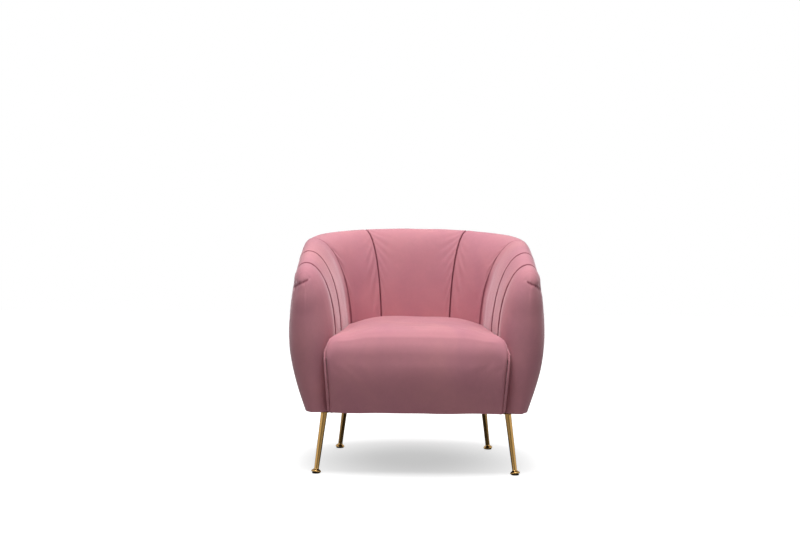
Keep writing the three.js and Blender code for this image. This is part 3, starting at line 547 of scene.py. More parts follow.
def respace(columns, rows):
    """Each column of points drawn again with the same number of evenly spaced points."""
    steps = np.linalg.norm(np.diff(columns, axis=1), axis=2)
    runs = np.concatenate([np.zeros((len(columns), 1)), np.cumsum(steps, axis=1)], axis=1)
    made = np.empty((len(columns), rows, 3))
    for i, (column, run) in enumerate(zip(columns, runs)):
        places = np.linspace(0, run[-1], rows)
        for k in range(3):
            made[i, :, k] = np.interp(places, run, column[:, k])
    return made


# Meshes


def pad_mesh(name, face, back, seam, folded=False):
    """Two grids of points, the face and the back of a pad, closed round their edges.

    Where folded is true the last column lies on itself, so the pad needs no edge there.
    """
    columns, rows = face.shape[:2]
    at = np.arange(columns * rows).reshape(columns, rows)
    behind = at + columns * rows
    quads = [quad_rows(at), quad_rows(behind)[:, ::-1]]
    quads.append(strip(behind[:, 0], at[:, 0]))
    quads.append(strip(at[:, -1], behind[:, -1]))
    quads.append(strip(at[0], behind[0]))
    if not folded:
        quads.append(strip(behind[-1], at[-1]))
    points = np.concatenate([face.reshape(-1, 3), back.reshape(-1, 3)])
    # Painted seam shade for every point, full on the pad's back.
    seams = np.concatenate([seam.ravel(), np.ones(columns * rows)])
    return solid_mesh(name, points, np.concatenate(quads).tolist(), seam=seams)


def quad_rows(at):
    return np.stack([at[:-1, :-1], at[1:, :-1], at[1:, 1:], at[:-1, 1:]], axis=-1).reshape(-1, 4)


def strip(one, other):
    return np.stack([one[:-1], other[:-1], other[1:], one[1:]], axis=-1)


def solid_mesh(name, points, faces, seam=None):
    """A smooth object from points and faces, with its points joined where they meet.

    seam says how deep each point lies in a seam, which the finish paints as shade.
    """
    mesh = bpy.data.meshes.new(name)
    mesh.from_pydata([tuple(p) for p in points], [], faces)
    if seam is not None:
        depths = mesh.attributes.new("seam", "FLOAT", "POINT").data
        depths.foreach_set("value", np.asarray(seam, np.float32))
    work = bmesh.new()
    work.from_mesh(mesh)
    bmesh.ops.remove_doubles(work, verts=work.verts, dist=WELD)
    bmesh.ops.dissolve_degenerate(work, edges=work.edges, dist=WELD / 10)
    bmesh.ops.recalc_face_normals(work, faces=work.faces)
    if work.calc_volume(signed=True) < 0:
        bmesh.ops.reverse_faces(work, faces=work.faces)
    work.to_mesh(mesh)
    work.free()
    mesh.shade_smooth()
    mesh.set_sharp_from_angle(angle=SHARP_ANGLE)
    made = bpy.data.objects.new(name, mesh)
    bpy.context.scene.collection.objects.link(made)
    return made


def dress(piece, slot, finish, *nodes, fill=None):
    """Give a piece its finish, attach it to the root and hide the parts of the solid model that it
    stands in for.
    """
    piece.data.materials.clear()
    piece.data.materials.append(finish)
    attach(piece, "root")
    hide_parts(*nodes)
    return piece


def grid_normals(face):
    """Unit normals of a grid of points, from its neighbours along both ways."""
    across = np.gradient(face, axis=0)
    along = np.gradient(face, axis=1)
    normals = np.cross(across, along)
    lengths = np.linalg.norm(normals, axis=2, keepdims=True)
    return normals / np.maximum(lengths, 1e-12)


def edge_distances(face):
    """How far each point of a grid is from the first and the last column, along its row."""
    steps = np.linalg.norm(np.diff(face, axis=0), axis=2)
    from_first = np.concatenate([np.zeros((1, face.shape[1])), np.cumsum(steps, axis=0)])
    return from_first, from_first[-1:] - from_first


def roll(distance, width):
    """1 at a seam, falling to 0 at the width as a quarter of a circle does."""
    past = clamp01(1 - distance / width)
    return 1 - np.sqrt(1 - past**2)


def swell(points, scale, seed):
    """Soft unevenness from -1 to 1, the same on every run: waves that cross in all directions."""
    chance = np.random.default_rng(seed)
    ways = chance.normal(size=(SWELL_WAVES, 3))
    lengths = np.linalg.norm(ways, axis=1)
    ways *= (math.pi * scale * chance.uniform(0.5, 1.5, SWELL_WAVES) / lengths)[:, None]
    phases = chance.uniform(0, 2 * math.pi, SWELL_WAVES)
    return np.clip(np.sin(points @ ways.T + phases).sum(axis=-1) / math.sqrt(SWELL_WAVES), -1, 1)


def upholstered(face, sheet, seams, puff, seed, outward, joins=None, shade_reach=SIDE_SHADE_REACH, firm=0.0):
    """A grid shaped as filling and stitching shape it, and the painted seam shade of each point,
    from how close it is to a seam.

    seams lists the distances to the seams that pull at this pad, and outward is a point outside the
    middle of it. joins is for blown, and shade_reach says how far the painted seam shade reaches
    from a seam, as a share of the seam's roll. firm is the share by which each point keeps its own
    place instead of being blown up.
    """
    normals = grid_normals(face)
    middle = face[face.shape[0] // 2, face.shape[1] // 2]
    if np.dot(normals[face.shape[0] // 2, face.shape[1] // 2], np.asarray(outward) - middle) < 0:
        normals = -normals
    nearest = np.minimum.reduce(seams)
    spread = np.maximum(nearest.max(axis=0, keepdims=True), sheet.seam_width)
    fullness = np.sin(QUARTER * clamp01(nearest / spread)) ** FULL_POWER
    gather = np.exp(-nearest / GATHER_REACH)
    ripple = sheet.ripple * swell(face, RIPPLE_SCALE, seed) * clamp01(nearest / RIPPLE_CLEAR)
    unevenness = swell(face, PUCKER_SCALE, seed + PUCKER_SEED)
    pucker = sheet.pucker * unevenness * gather * clamp01(nearest / PUCKER_CLEAR)
    joins = np.arange(nearest.size) if joins is None else joins
    shape = blown(face - normals * puff, joins, outward, sheet.pressure, puff * BLOWN_SHARE)
    firm = np.asarray(firm)
    face, fullness = blend(shape, face, firm[..., None]), blend(1.0, fullness, firm)
    groove = sheet.seam_depth * roll(nearest, sheet.seam_width)
    height = puff * (fullness - 1) + ripple + pucker - groove
    # Painted shade: 1 at a seam, falling to 0 at the shade reach, which the finish paints dark.
    seam = clamp01(1 - nearest / (sheet.seam_width * shade_reach)) ** SEAM_SHADE_POWER
    return face + normals * height[..., None], seam


def blown(face, joins, outward, pressure, cap):
    """A grid of cloth blown up from behind and held at its edges, as stuffing fills a sewn panel.

    joins gives the point that each point of the grid is welded to, and cap is how far the cloth may
    move.
    """
    columns, rows = face.shape[:2]
    start = face.reshape(-1, 3)
    used, index = np.unique(joins, return_inverse=True)
    at = index.reshape(columns, rows)
    quads = [q for q in quad_rows(at).tolist() if len(set(q)) == 4]
    mesh = bpy.data.meshes.new("cloth")
    mesh.from_pydata([tuple(p) for p in start[used]], [], quads)
    middle = mesh.polygons[len(quads) // 2]
    if middle.normal.dot(Vector(outward) - middle.center) < 0:
        mesh.flip_normals()
    panel = bpy.data.objects.new("cloth", mesh)
    bpy.context.scene.collection.objects.link(panel)
    edge = set(at[0]) | set(at[:, 0]) | set(at[:, -1])
    if len(used) == columns * rows:
        edge |= set(at[-1])
    panel.vertex_groups.new(name="held").add([int(i) for i in edge], 1.0, "REPLACE")
    add_cloth(panel, pressure, "held")
    moved = simulated(panel)[index] - start
    lengths = np.linalg.norm(moved, axis=1, keepdims=True)
    bpy.data.objects.remove(panel)
    return (start + moved * np.minimum(1, cap / np.maximum(lengths, 1e-9))).reshape(face.shape)


def add_cloth(piece, pressure, held=""):
    cloth = piece.modifiers.new("cloth", "CLOTH")
    cloth.settings.quality = 6
    cloth.settings.mass = 0.3
    cloth.settings.tension_stiffness = 25
    cloth.settings.compression_stiffness = 25
    cloth.settings.shear_stiffness = 10
    cloth.settings.bending_stiffness = 2
    cloth.settings.use_pressure = True
    cloth.settings.uniform_pressure_force = pressure
    cloth.settings.effector_weights.gravity = 0
    cloth.settings.vertex_group_mass = held
    cloth.collision_settings.use_collision = False


def simulated(piece, frames=CLOTH_FRAMES):
    """The points of a piece after its simulation has run."""
    scene = bpy.context.scene
    for step in range(1, frames + 1):
        scene.frame_set(step)
    shaped = piece.evaluated_get(bpy.context.evaluated_depsgraph_get()).data
    points = np.empty(len(shaped.vertices) * 3)
    shaped.vertices.foreach_get("co", points)
    scene.frame_set(1)
    return points.reshape(-1, 3)


def count_for(length, spacing, least=3):
    return max(least, int(round(length / spacing)) + 1)


# Finishes


class Value:
    """A socket in a finish, so that shader maths on it reads as a plain expression."""

    def __init__(self, finish, socket):
        self.finish = finish
        self.socket = socket

    def maths(self, operation, *others, **settings):
        values = dict(enumerate((self, *others)))
        return self.finish.node("Math", {"operation": operation, **settings}, values)

    def __add__(self, other):
        return self.maths("ADD", other)

    __radd__ = __add__

    def __sub__(self, other):
        return self.maths("SUBTRACT", other)

    def __rsub__(self, other):
        return self.finish.node("Math", {"operation": "SUBTRACT"}, {0: other, 1: self})

    def __mul__(self, other):
        return self.maths("MULTIPLY", other)

    __rmul__ = __mul__

    def limited(self):
        """The value kept between 0 and 1."""
        return self.maths("ADD", 0.0, use_clamp=True)


class Nodes:
    """The nodes of a material or a world, and the one way in which they are added."""

    def __init__(self, owner, output):
        owner.use_nodes = True
        self.tree = owner.node_tree
        self.tree.nodes.clear()
        self.output = self.tree.nodes.new(f"ShaderNodeOutput{output}")

    def feed(self, socket, value):
        if isinstance(value, Value):
            self.tree.links.new(value.socket, socket)
        elif isinstance(value, (tuple, list)) and socket.type == "RGBA":
            socket.default_value = (*value[:3], 1.0)
        else:
            socket.default_value = value

    def node(self, kind, settings=None, inputs=None, output=0):
        made = self.tree.nodes.new(f"ShaderNode{kind}")
        for setting, value in (settings or {}).items():
            if setting == "stops":
                stops = made.color_ramp.elements
                while len(stops) < len(value):
                    stops.new(0.5)
                for stop, (position, colour) in zip(stops, value):
                    stop.position = position
                    stop.color = (*colour, 1.0)
            else:
                setattr(made, setting, value)
        for socket, value in (inputs or {}).items():
            self.feed(made.inputs[socket], value)
        return Value(self, made.outputs[output])

    def end(self, kind, **inputs):
        """A shader on the output, and what feeds it."""
        shader = self.tree.nodes.new(f"ShaderNode{kind}")
        self.tree.links.new(shader.outputs[0], self.output.inputs["Surface"])
        self.fill(shader, inputs)
        return shader

    def fill(self, shader, inputs):
        for socket, value in inputs.items():
            self.feed(shader.inputs[socket.replace("_", " ")], value)

    def place(self):
        """Object coordinates, in metres."""
        return self.node("TexCoord", output="Object")

    def stretched(self, place, scale):
        return self.node("Mapping", inputs={"Vector": place, "Scale": scale})

    def cloud(self, place, scale, detail=2.0, roughness=0.5, distortion=0.0):
        """Noise from 0 to 1."""
        inputs = {
            "Vector": place,
            "Scale": scale,
            "Detail": detail,
            "Roughness": roughness,
            "Distortion": distortion,
        }
        return self.node("TexNoise", inputs=inputs)

    def between(self, value, low, high, to_low=0.0, to_high=1.0, curve="LINEAR"):
        """A value moved from one range to another, and kept inside it."""
        inputs = {"Value": value, "From Min": low, "From Max": high}
        inputs.update({"To Min": to_low, "To Max": to_high})
        return self.node("MapRange", {"interpolation_type": curve}, inputs)

    def mixed(self, share, one, other):
        """One colour changed to another by a share."""
        return self.node("Mix", {"data_type": "RGBA"}, {0: share, 6: one, 7: other}, output=2)

    def shade(self, colour, amount):
        """A colour made lighter or darker by a factor that varies."""
        return self.node("VectorMath", {"operation": "SCALE"}, {0: colour, "Scale": amount})


class Finish(Nodes):
    """A material being made round one principled shader."""

    def __init__(self, name, **shader):
        self.material = bpy.data.materials.new(name)
        super().__init__(self.material, "Material")
        self.shader = self.end("BsdfPrincipled", **shader)

    def set(self, **sockets):
        self.fill(self.shader, sockets)
        return self.material

    def attribute(self, name):
        return self.node("Attribute", {"attribute_name": name}, output="Fac")

    def show(self, share, **shader):
        """A second surface that shows by a share in place of the first one."""
        other = self.end("BsdfPrincipled", **shader)
        mix = self.end("MixShader", Fac=share)
        self.tree.links.new(self.shader.outputs[0], mix.inputs[1])
        self.tree.links.new(other.outputs[0], mix.inputs[2])

    def bump(self, height, strength, distance, under=None):
        inputs = {"Height": height, "Strength": strength, "Distance": distance}
        if under is not None:
            inputs["Normal"] = under
        return self.node("Bump", inputs=inputs)


def velvet_finish(colours):
    """Short cut pile: broad brushed patches and fine fibres, with painted shade in the seams: a
    dark maroon surface without sheen stands in for the shade of the seam grooves.
    """
    pile = Finish(
        "velvet_finish",
        Roughness=0.85,
        Specular_IOR_Level=0.5,
        Sheen_Weight=0.5,
        Sheen_Roughness=0.33,
        Sheen_Tint=(*colours.sheen, 1.0),
    )
    place = pile.place()
    along = pile.stretched(place, (1.0, 1.0, 0.55))
    brushed = pile.cloud(along, 7.0, detail=3.0, roughness=0.5, distortion=0.6)
    mottle = pile.cloud(place, 60.0, detail=3.0, roughness=0.6)
    fibre = pile.cloud(place, 1400.0, detail=1.0)
    seam = pile.attribute("seam")
    tone = pile.between(brushed, 0.3, 0.7, 0.93, 1.07)
    tone = tone * pile.between(mottle, 0.3, 0.7, 0.975, 1.025)
    tone = tone * pile.between(fibre, 0.2, 0.8, 0.93, 1.07)
    red, green, blue = colours.velvet
    cool, warm = (red, green * 0.97, blue), (red, green, blue * 0.95)
    colour = pile.mixed(pile.between(brushed, 0.35, 0.7), cool, warm)
    rough = pile.between(mottle, 0.3, 0.7, 0.8, 0.9)
    nap = pile.bump(fibre + mottle * 0.5, 0.35, 0.0006)
    # Painted shade: where the seam shade is high, the velvet gives way to a dark maroon surface
    # without sheen, which paints in the shade of the seam grooves.
    pile.show(seam, Base_Color=tuple(colours.seam), Roughness=0.9, Specular_IOR_Level=0.1)
    return pile.set(Base_Color=pile.shade(colour, tone), Roughness=rough, Normal=nap)


def brass_finish(colours):
    """Polished gold metal with faint handling marks and fine turning lines."""
    metal = Finish("brass_finish", Metallic=1.0, Roughness=0.16)
    place = metal.place()
    smudge = metal.cloud(place, 45.0, detail=4.0, roughness=0.6)
    lines = metal.cloud(metal.stretched(place, (40.0, 40.0, 900.0)), 1.0, detail=1.0)
    rough = metal.between(smudge, 0.3, 0.75, 0.11, 0.22) + metal.between(lines, 0.3, 0.7, 0.0, 0.03)
    tone = metal.between(smudge, 0.25, 0.75, 1.05, 0.93)
    colour = metal.shade(tuple(colours.metal), tone)
    return metal.set(Base_Color=colour, Roughness=rough, Normal=metal.bump(lines, 0.12, 0.0002))


def timber_finish():
    """Sawn beech rails with long pores and a planer's soft waves."""
    wood = Finish("timber_finish", Roughness=0.6, Specular_IOR_Level=0.3)
    along = wood.stretched(wood.place(), (9.0, 60.0, 60.0))
    grain = wood.cloud(along, 1.0, detail=6.0, roughness=0.6, distortion=0.4)
    pores = wood.cloud(wood.stretched(wood.place(), (30.0, 700.0, 700.0)), 1.0, detail=2.0)
    stops = [(0.3, (0.36, 0.2, 0.09)), (0.5, (0.55, 0.35, 0.17)), (0.72, (0.68, 0.46, 0.25))]
    colour = wood.node("ValToRGB", {"stops": stops}, {"Fac": grain})
    colour = wood.shade(colour, wood.between(pores, 0.35, 0.6, 0.8, 1.0))
    rough = wood.between(grain, 0.3, 0.7, 0.55, 0.72)
    return wood.set(Base_Color=colour, Roughness=rough, Normal=wood.bump(pores, 0.3, 0.0004))


def plywood_finish():
    """Birch plywood: pale faces, with the dark glue lines of its plies on the edges."""
    wood = Finish("plywood_finish", Roughness=0.65, Specular_IOR_Level=0.25)
    place = wood.place()
    grain = wood.cloud(wood.stretched(place, (12.0, 12.0, 90.0)), 1.0, detail=5.0, roughness=0.6)
    bands = {"wave_type": "BANDS", "bands_direction": "Y"}
    plies = wood.node("TexWave", bands, {"Vector": place, "Scale": 55.0, "Distortion": 0.4})
    stops = [(0.3, (0.5, 0.33, 0.17)), (0.7, (0.74, 0.56, 0.34))]
    colour = wood.node("ValToRGB", {"stops": stops}, {"Fac": grain})
    colour = wood.shade(colour, wood.between(plies, 0.1, 0.45, 0.72, 1.0))
    return wood.set(Base_Color=colour, Normal=wood.bump(grain, 0.2, 0.0004))


def steel_finish():
    """Drawn spring wire and plated screws."""
    metal = Finish("steel_finish", Metallic=1.0, Roughness=0.35)
    place = metal.place()
    stain = metal.cloud(place, 90.0, detail=4.0)
    scratch = metal.cloud(metal.stretched(place, (300.0, 1500.0, 1500.0)), 1.0, detail=1.0)
    colour = metal.mixed(metal.between(stain, 0.35, 0.75), (0.5, 0.5, 0.51), (0.3, 0.29, 0.28))
    rough = metal.between(stain, 0.3, 0.7, 0.28, 0.48)
    return metal.set(Base_Color=colour, Roughness=rough, Normal=metal.bump(scratch, 0.2, 0.0002))


def plastic_finish():
    """Moulded nylon with a fine spark texture, scuffed paler where it slides."""
    nylon = Finish("plastic_finish", Roughness=0.5, Specular_IOR_Level=0.4)
    place = nylon.place()
    spark = nylon.cloud(place, 900.0, detail=2.0)
    scuff = nylon.between(nylon.cloud(place, 220.0, detail=4.0), 0.5, 0.75)
    colour = nylon.mixed(scuff * 0.5, (0.02, 0.019, 0.018), (0.1, 0.098, 0.095))
    rough = 0.45 + scuff * 0.25
    return nylon.set(Base_Color=colour, Roughness=rough, Normal=nylon.bump(spark, 0.25, 0.0003))


def lining_finish():
    """The black unwoven sheet under the chair, with its pressed dots."""
    sheet = Finish("lining_finish", Roughness=0.95, Specular_IOR_Level=0.1)
    place = sheet.place()
    spots = {"Vector": place, "Scale": 650.0, "Randomness": 0.15}
    dots = sheet.node("TexVoronoi", {"feature": "F1"}, spots)
    hair = sheet.cloud(sheet.stretched(place, (1.0, 0.35, 1.0)), 900.0, detail=3.0)
    tone = sheet.between(dots, 0.1, 0.5, 0.7, 1.15) * sheet.between(hair, 0.3, 0.7, 0.8, 1.25)
    colour = sheet.shade((0.018, 0.017, 0.017), tone)
    return sheet.set(Base_Color=colour, Normal=sheet.bump(dots + hair, 0.4, 0.0004))


def felt_finish():
    """Grey pressed felt with flecks of other fibres."""
    felt = Finish(
        "felt_finish",
        Roughness=1.0,
        Specular_IOR_Level=0.05,
        Sheen_Weight=0.2,
        Sheen_Roughness=0.6,
    )
    place = felt.place()
    along = felt.stretched(place, (1.0, 0.4, 1.0))
    fibres = felt.cloud(along, 700.0, detail=4.0, roughness=0.7, distortion=1.0)
    flecks = felt.between(felt.cloud(place, 260.0, detail=2.0), 0.62, 0.7)
    colour = felt.mixed(flecks, (0.24, 0.23, 0.225), (0.42, 0.3, 0.26))
    colour = felt.shade(colour, felt.between(fibres, 0.3, 0.7, 0.75, 1.25))
    return felt.set(Base_Color=colour, Normal=felt.bump(fibres, 0.6, 0.0012))


FINISHES = {
    "velvet": velvet_finish,
    "brass": brass_finish,
    "timber": timber_finish,
    "plywood": plywood_finish,
    "steel": steel_finish,
    "plastic": plastic_finish,
    "lining": lining_finish,
    "felt": felt_finish,
}


def finish_for(slot):
    """The finish of a slot, made the first time that it is asked for."""
    made = bpy.data.materials.get(f"{slot}_finish")
    if made is None:
        maker = FINISHES[slot]
        colours = bpy.context.scene.armchair_colours
        made = maker(colours) if slot in ("velvet", "brass") else maker()
    return made


# The pieces


def seam_spaced(low, high, spacing):
    """Places from low to high, closer together at both ends, where the seams are."""
    share = np.linspace(0, 1, count_for(abs(high - low), spacing, LEAST_COLUMNS))
    return blend(low, high, share - CROWDING * np.sin(2 * math.pi * share) / (2 * math.pi))


def deepened(shade_reach, deep, rows, start):
    """Reaches of the painted seam shade for the rows of a pad: deep times wider below the share
    start of its height, which paints the lower part of the pad darker.
    """
    return shade_reach * blend(deep, 1.0, ease((np.linspace(0, 1, rows) - start) / DEEP_FADE))


def inside_pad(name, low, high, cloth, puff, seed, shade_reach, deep=1.0):
    """A pad between two seams, from below the seat over the ridge to the seam at the shoulder."""
    inwards = 1 if low + high >= 0 else -1
    stations = Stations(seam_spaced(low + SEAM_GAP, high - SEAM_GAP, cloth.spacing))
    rows = count_for(PAD_LENGTH, cloth.spacing)
    face = stations.arch(rows)
    back = stations.arch(rows, PAD)
    drop = np.linalg.norm(np.diff(face, axis=1), axis=2).mean() * np.arange(rows)[::-1]
    seams = [*edge_distances(face), np.broadcast_to(drop, face.shape[:2]) + SEAM_START]
    # Painted seam shade reaches, wider low down on the pad where deep is above 1.
    shade_reaches = deepened(shade_reach, deep, rows, DEEP_SHARE)
    above = (0.05 * inwards, -0.2, 2.0)
    face, seam = upholstered(face, cloth, seams, puff, seed, above, shade_reach=shade_reaches)
    return pad_mesh(name, face, back, seam)


def outside_panel(name, low, high, cloth, seed):
    """A cover of the outside, from the foot of the body up to the seam at the shoulder."""
    spacing = cloth.spacing * PANEL_COLUMNS_APART
    stations = Stations(seam_spaced(low + SEAM_GAP, high - SEAM_GAP, spacing))
    rows = count_for(PANEL_LENGTH, cloth.spacing * PANEL_ROWS_APART)
    face = stations.panel(rows)
    back = stations.panel(rows, SKIN)
    drop = np.linalg.norm(np.diff(face, axis=1), axis=2).mean() * np.arange(rows)[::-1]
    seams = [*edge_distances(face), np.broadcast_to(drop, face.shape[:2])]
    away = face[len(face) // 2, rows // 2] * (9, 9, 1)
    face, seam = upholstered(face, cloth, seams, cloth.pleat_puff / 3, seed, away)
    return pad_mesh(name, face, back, seam)


def rounded_nose(face):
    """The grid of an arm's front with its tip rounded off, where the columns run together."""
    for _ in range(NOSE_ROUNDS):
        tip = face[-1, face.shape[1] // 2]
        away = np.linalg.norm(face - tip, axis=2)
        area = np.linalg.norm(np.cross(*(np.gradient(face, axis=k) for k in (0, 1))), axis=2)
        near, around = away < NOSE_ROUND, away < NOSE_ROUND + 3 * NOSE_BLUR
        points, others = face[near], face[around]
        gaps = (points**2).sum(axis=1)[:, None] + (others**2).sum(axis=1) - 2 * points @ others.T
        pull = area[around] * np.exp(-gaps / (2 * NOSE_BLUR**2))
        mean = pull @ others / pull.sum(axis=1, keepdims=True)
        share = (1 - (away[near] / NOSE_ROUND) ** 2) ** 2
        face = face.copy()
        face[near] += share[:, None] * (mean - points)
        face[-1] = (face[-1] + face[-1, ::-1]) / 2
    return face


def arm_front_pad(name, side, cloth, seed):
    """The pad that wraps the front of an arm, from the third seam round the nose to the outside."""
    spacing = cloth.spacing * ARM_COLUMNS_APART
    straight = np.linspace(ARM_SEAM_RUNS[2] + SEAM_GAP, RIDGE.end, LEAST_COLUMNS)
    turns = np.linspace(0, QUARTER, count_for(NOSE_TURN, spacing))[1:]
    runs = np.append(straight, np.full(len(turns), RIDGE.end))
    stations = Stations(runs, np.append(np.zeros(len(straight)), np.sin(turns)))
    foot_y = stations.points("inner", np.full((len(runs), 1), BODY_Z))[:, 0, 1]
    inner_low = np.interp(-foot_y, FOOT_DIPS_Y, [PAD_FOOT_Z, BODY_Z])
    rows = count_for(ARM_LENGTH, spacing * ARM_ROWS_APART)
    face = rounded_nose(stations.arch(rows, 0.0, inner_low, BODY_Z))
    depths = blend(SKIN, PAD, stations.cap)
    back = stations.arch(rows, PAD, inner_low, BODY_Z, outer_inset=depths)
    dart = distance_to_line(face, DART)
    fade = ease((face[..., 0] - DART[-1, 0]) / DART_FADE)
    dart = dart / np.maximum(fade, DART_FADE_LEAST)
    from_seam = edge_distances(face)[0]
    joins = np.arange(len(runs) * rows).reshape(len(runs), rows)
    joins[-1] = np.minimum(joins[-1], joins[-1, ::-1])
    seams = [from_seam, dart * DART_NARROW + SEAM_START]
    away = np.linalg.norm(face - face[-1, rows // 2], axis=2)
    firm = ease(2 - away / NOSE_ROUND)
    # Painted seam shade reaches, wider over the lower part of the arm front.
    shade_reaches = deepened(ARM_SHADE_REACH, ARM_DEEP, rows, ARM_DEEP_SHARE)
    before = (0.5, -1.5, 0.9)
    puff = cloth.pleat_puff
    face, seam = upholstered(face, cloth, seams, puff, seed, before, joins.ravel(), shade_reaches, firm)
    face[-1] = (face[-1] + face[-1, ::-1]) / 2
    flip = np.array([side, 1, 1])
    return pad_mesh(name, face * flip, back * flip, seam, folded=True)


def distance_to_line(points, line):
    """How far each point is from a line of straight lengths."""
    nearest = np.full(points.shape[:-1], np.inf)
    for a, b in zip(line[:-1], line[1:]):
        along = clamp01(((points - a) @ (b - a)) / np.dot(b - a, b - a))
        gap = np.linalg.norm(points - a - along[..., None] * (b - a), axis=-1)
        nearest = np.minimum(nearest, gap)
    return nearest


def seat_top(x, y):
    """Height of the seat over its plan: a crowned top that falls at the front and the sides."""
    back = CORNER_Y + FOOT_DEPTH
    edge = blend(SEAT_EDGE_FRONT_Z, SEAT_EDGE_BACK_Z, (y - BODY_FRONT) / (back - BODY_FRONT))
    middle = (BODY_FRONT + back) / 2
    crown = SEAT_CROWN * (1 - (x / SEAT_HALF) ** 2) * (1 - ((y - middle) / (back - middle)) ** 2)
    past = clamp01(1 - (y - BODY_FRONT) / WATERFALL_RUN)
    shoulder = ease((np.abs(x) - SEAT_SHOULDER_X) / SEAT_SHOULDER_RUN) * ease(1 - past)
    tip = clamp01((np.abs(x) - SEAT_TIP_X) / (SEAT_HALF - SEAT_TIP_X)) ** 2
    fall = WATERFALL_DROP * (1 - np.sqrt(1 - past**2))
    return edge + crown - SEAT_SHOULDER_DROP * shoulder - SEAT_TIP_DROP * tip - fall


def nose_places(caps):
    """Places round the inner side of an arm's nose, at the height of the seat's front edge."""
    nose = Stations(np.full(len(caps), RIDGE.end), caps)
    return nose.points("inner", np.full((len(caps), 1), SEAT_EDGE_FRONT_Z))[:, 0]


def seat_outline(spacing):
    """The seat in plan: along the wall's foot, past the arm's nose and round the front corner."""
    beside = Stations(np.linspace(0, RIDGE.end, SEAT_STATIONS))
    half = beside.foot - beside.foot_outward * SEAT_CLEAR
    half[0] = (0, CORNER_Y + FOOT_DEPTH - SEAT_CLEAR)
    caps = np.sin(QUARTER * np.linspace(0, SEAT_NOSE_SHARE, SEAT_CORNER_STEPS)[1:])
    nose = nose_places(caps)[:, :2] - (SEAT_CLEAR + NOSE_CLEAR, 0)
    turns = np.linspace(0, QUARTER, SEAT_CORNER_STEPS)
    corner = np.column_stack([
        SEAT_HALF - SEAT_CORNER * (1 - np.cos(turns)),
        BODY_FRONT + SEAT_CORNER * (1 - np.sin(turns)),
    ])
    between = (SEAT_HALF, (nose[-1, 1] + BODY_FRONT) / 2)
    half = np.concatenate([half, nose, [between], corner, [(0, BODY_FRONT)]])
    left = half[1:-1][::-1] * (-1, 1)
    loop = np.concatenate([half, left, half[:1]])
    steps = np.linalg.norm(np.diff(loop, axis=0), axis=1)
    runs = np.append(0, np.cumsum(steps))
    places = np.linspace(0, runs[-1], count_for(runs[-1], spacing))[:-1]
    return np.column_stack([np.interp(places, runs, loop[:, k]) for k in (0, 1)])


def seat_form(name, cloth):
    """The stuffed seat: top, waterfall front and sides as rings of points, closed underneath."""
    outline = seat_outline(cloth.spacing)
    middle = np.array([0, (BODY_FRONT + CORNER_Y) / 2])
    shares = 1 - (1 - np.linspace(SEAT_RINGS_START, 1, SEAT_RINGS)) ** SEAT_RINGS_POWER
    rings = []
    for share in shares:
        place = middle + (outline - middle) * share
        inside = (1 - share) * np.linalg.norm(outline - middle, axis=1)
        near = clamp01(1 - inside / SEAT_SIDE_ROUND)
        drop = SEAT_SIDE_ROUND * (1 - np.sqrt(1 - near**2))
        falling = clamp01((BODY_FRONT + WATERFALL_RUN - place[:, 1]) / WATERFALL_RUN)
        height = seat_top(place[:, 0], place[:, 1]) - drop * (1 - falling / 2)
        rings.append(np.column_stack([place, height]))
    rim = rings[-1]
    skirt_y = FRONT_RAIL_Y - SKIRT_BEFORE_RAIL
    facing = ease((skirt_y - outline[:, 1]) / (skirt_y - BODY_FRONT - SEAT_CORNER))
    low = np.where(outline[:, 1] < skirt_y - SKIRT_SLACK, BODY_Z, SEAT_FOAM_Z)
    for share in np.linspace(0, 1, SKIRT_ROWS)[1:]:
        narrow = 1 - SEAT_FRONT_TAPER / SEAT_HALF * share * facing
        x = rim[:, 0] * narrow
        y = rim[:, 1] + SEAT_FRONT_SLOPE * share**SEAT_FRONT_BEND * facing
        rings.append(np.column_stack([x, y, blend(rim[:, 2], low, share)]))
    under = rings[-1].copy()
    under[:, 1] = np.maximum(under[:, 1], skirt_y)
    above = under.copy()
    above[:, 2] = SEAT_FOAM_Z
    rings += [under, above]
    count = len(outline)
    points = [*np.concatenate(rings), (*middle, seat_top(*middle)), (*middle, SEAT_FOAM_Z)]
    at = np.arange(len(rings) * count).reshape(len(rings), count)
    at = np.concatenate([at, at[:, :1]], axis=1)
    faces = quad_rows(at).tolist()
    top, bottom = len(points) - 2, len(points) - 1
    faces += [(top, at[0, i], at[0, i + 1]) for i in range(count)]
    faces += [(bottom, at[-1, i + 1], at[-1, i]) for i in range(count)]
    return solid_mesh(name, points, faces)


def read_points(piece, what="vertices", field="co"):
    values = np.empty(len(getattr(piece.data, what)) * 3)
    getattr(piece.data, what).foreach_get(field, values)
    return values.reshape(-1, 3)


def write_points(piece, points):
    piece.data.vertices.foreach_set("co", np.asarray(points, float).ravel())
    piece.data.update()


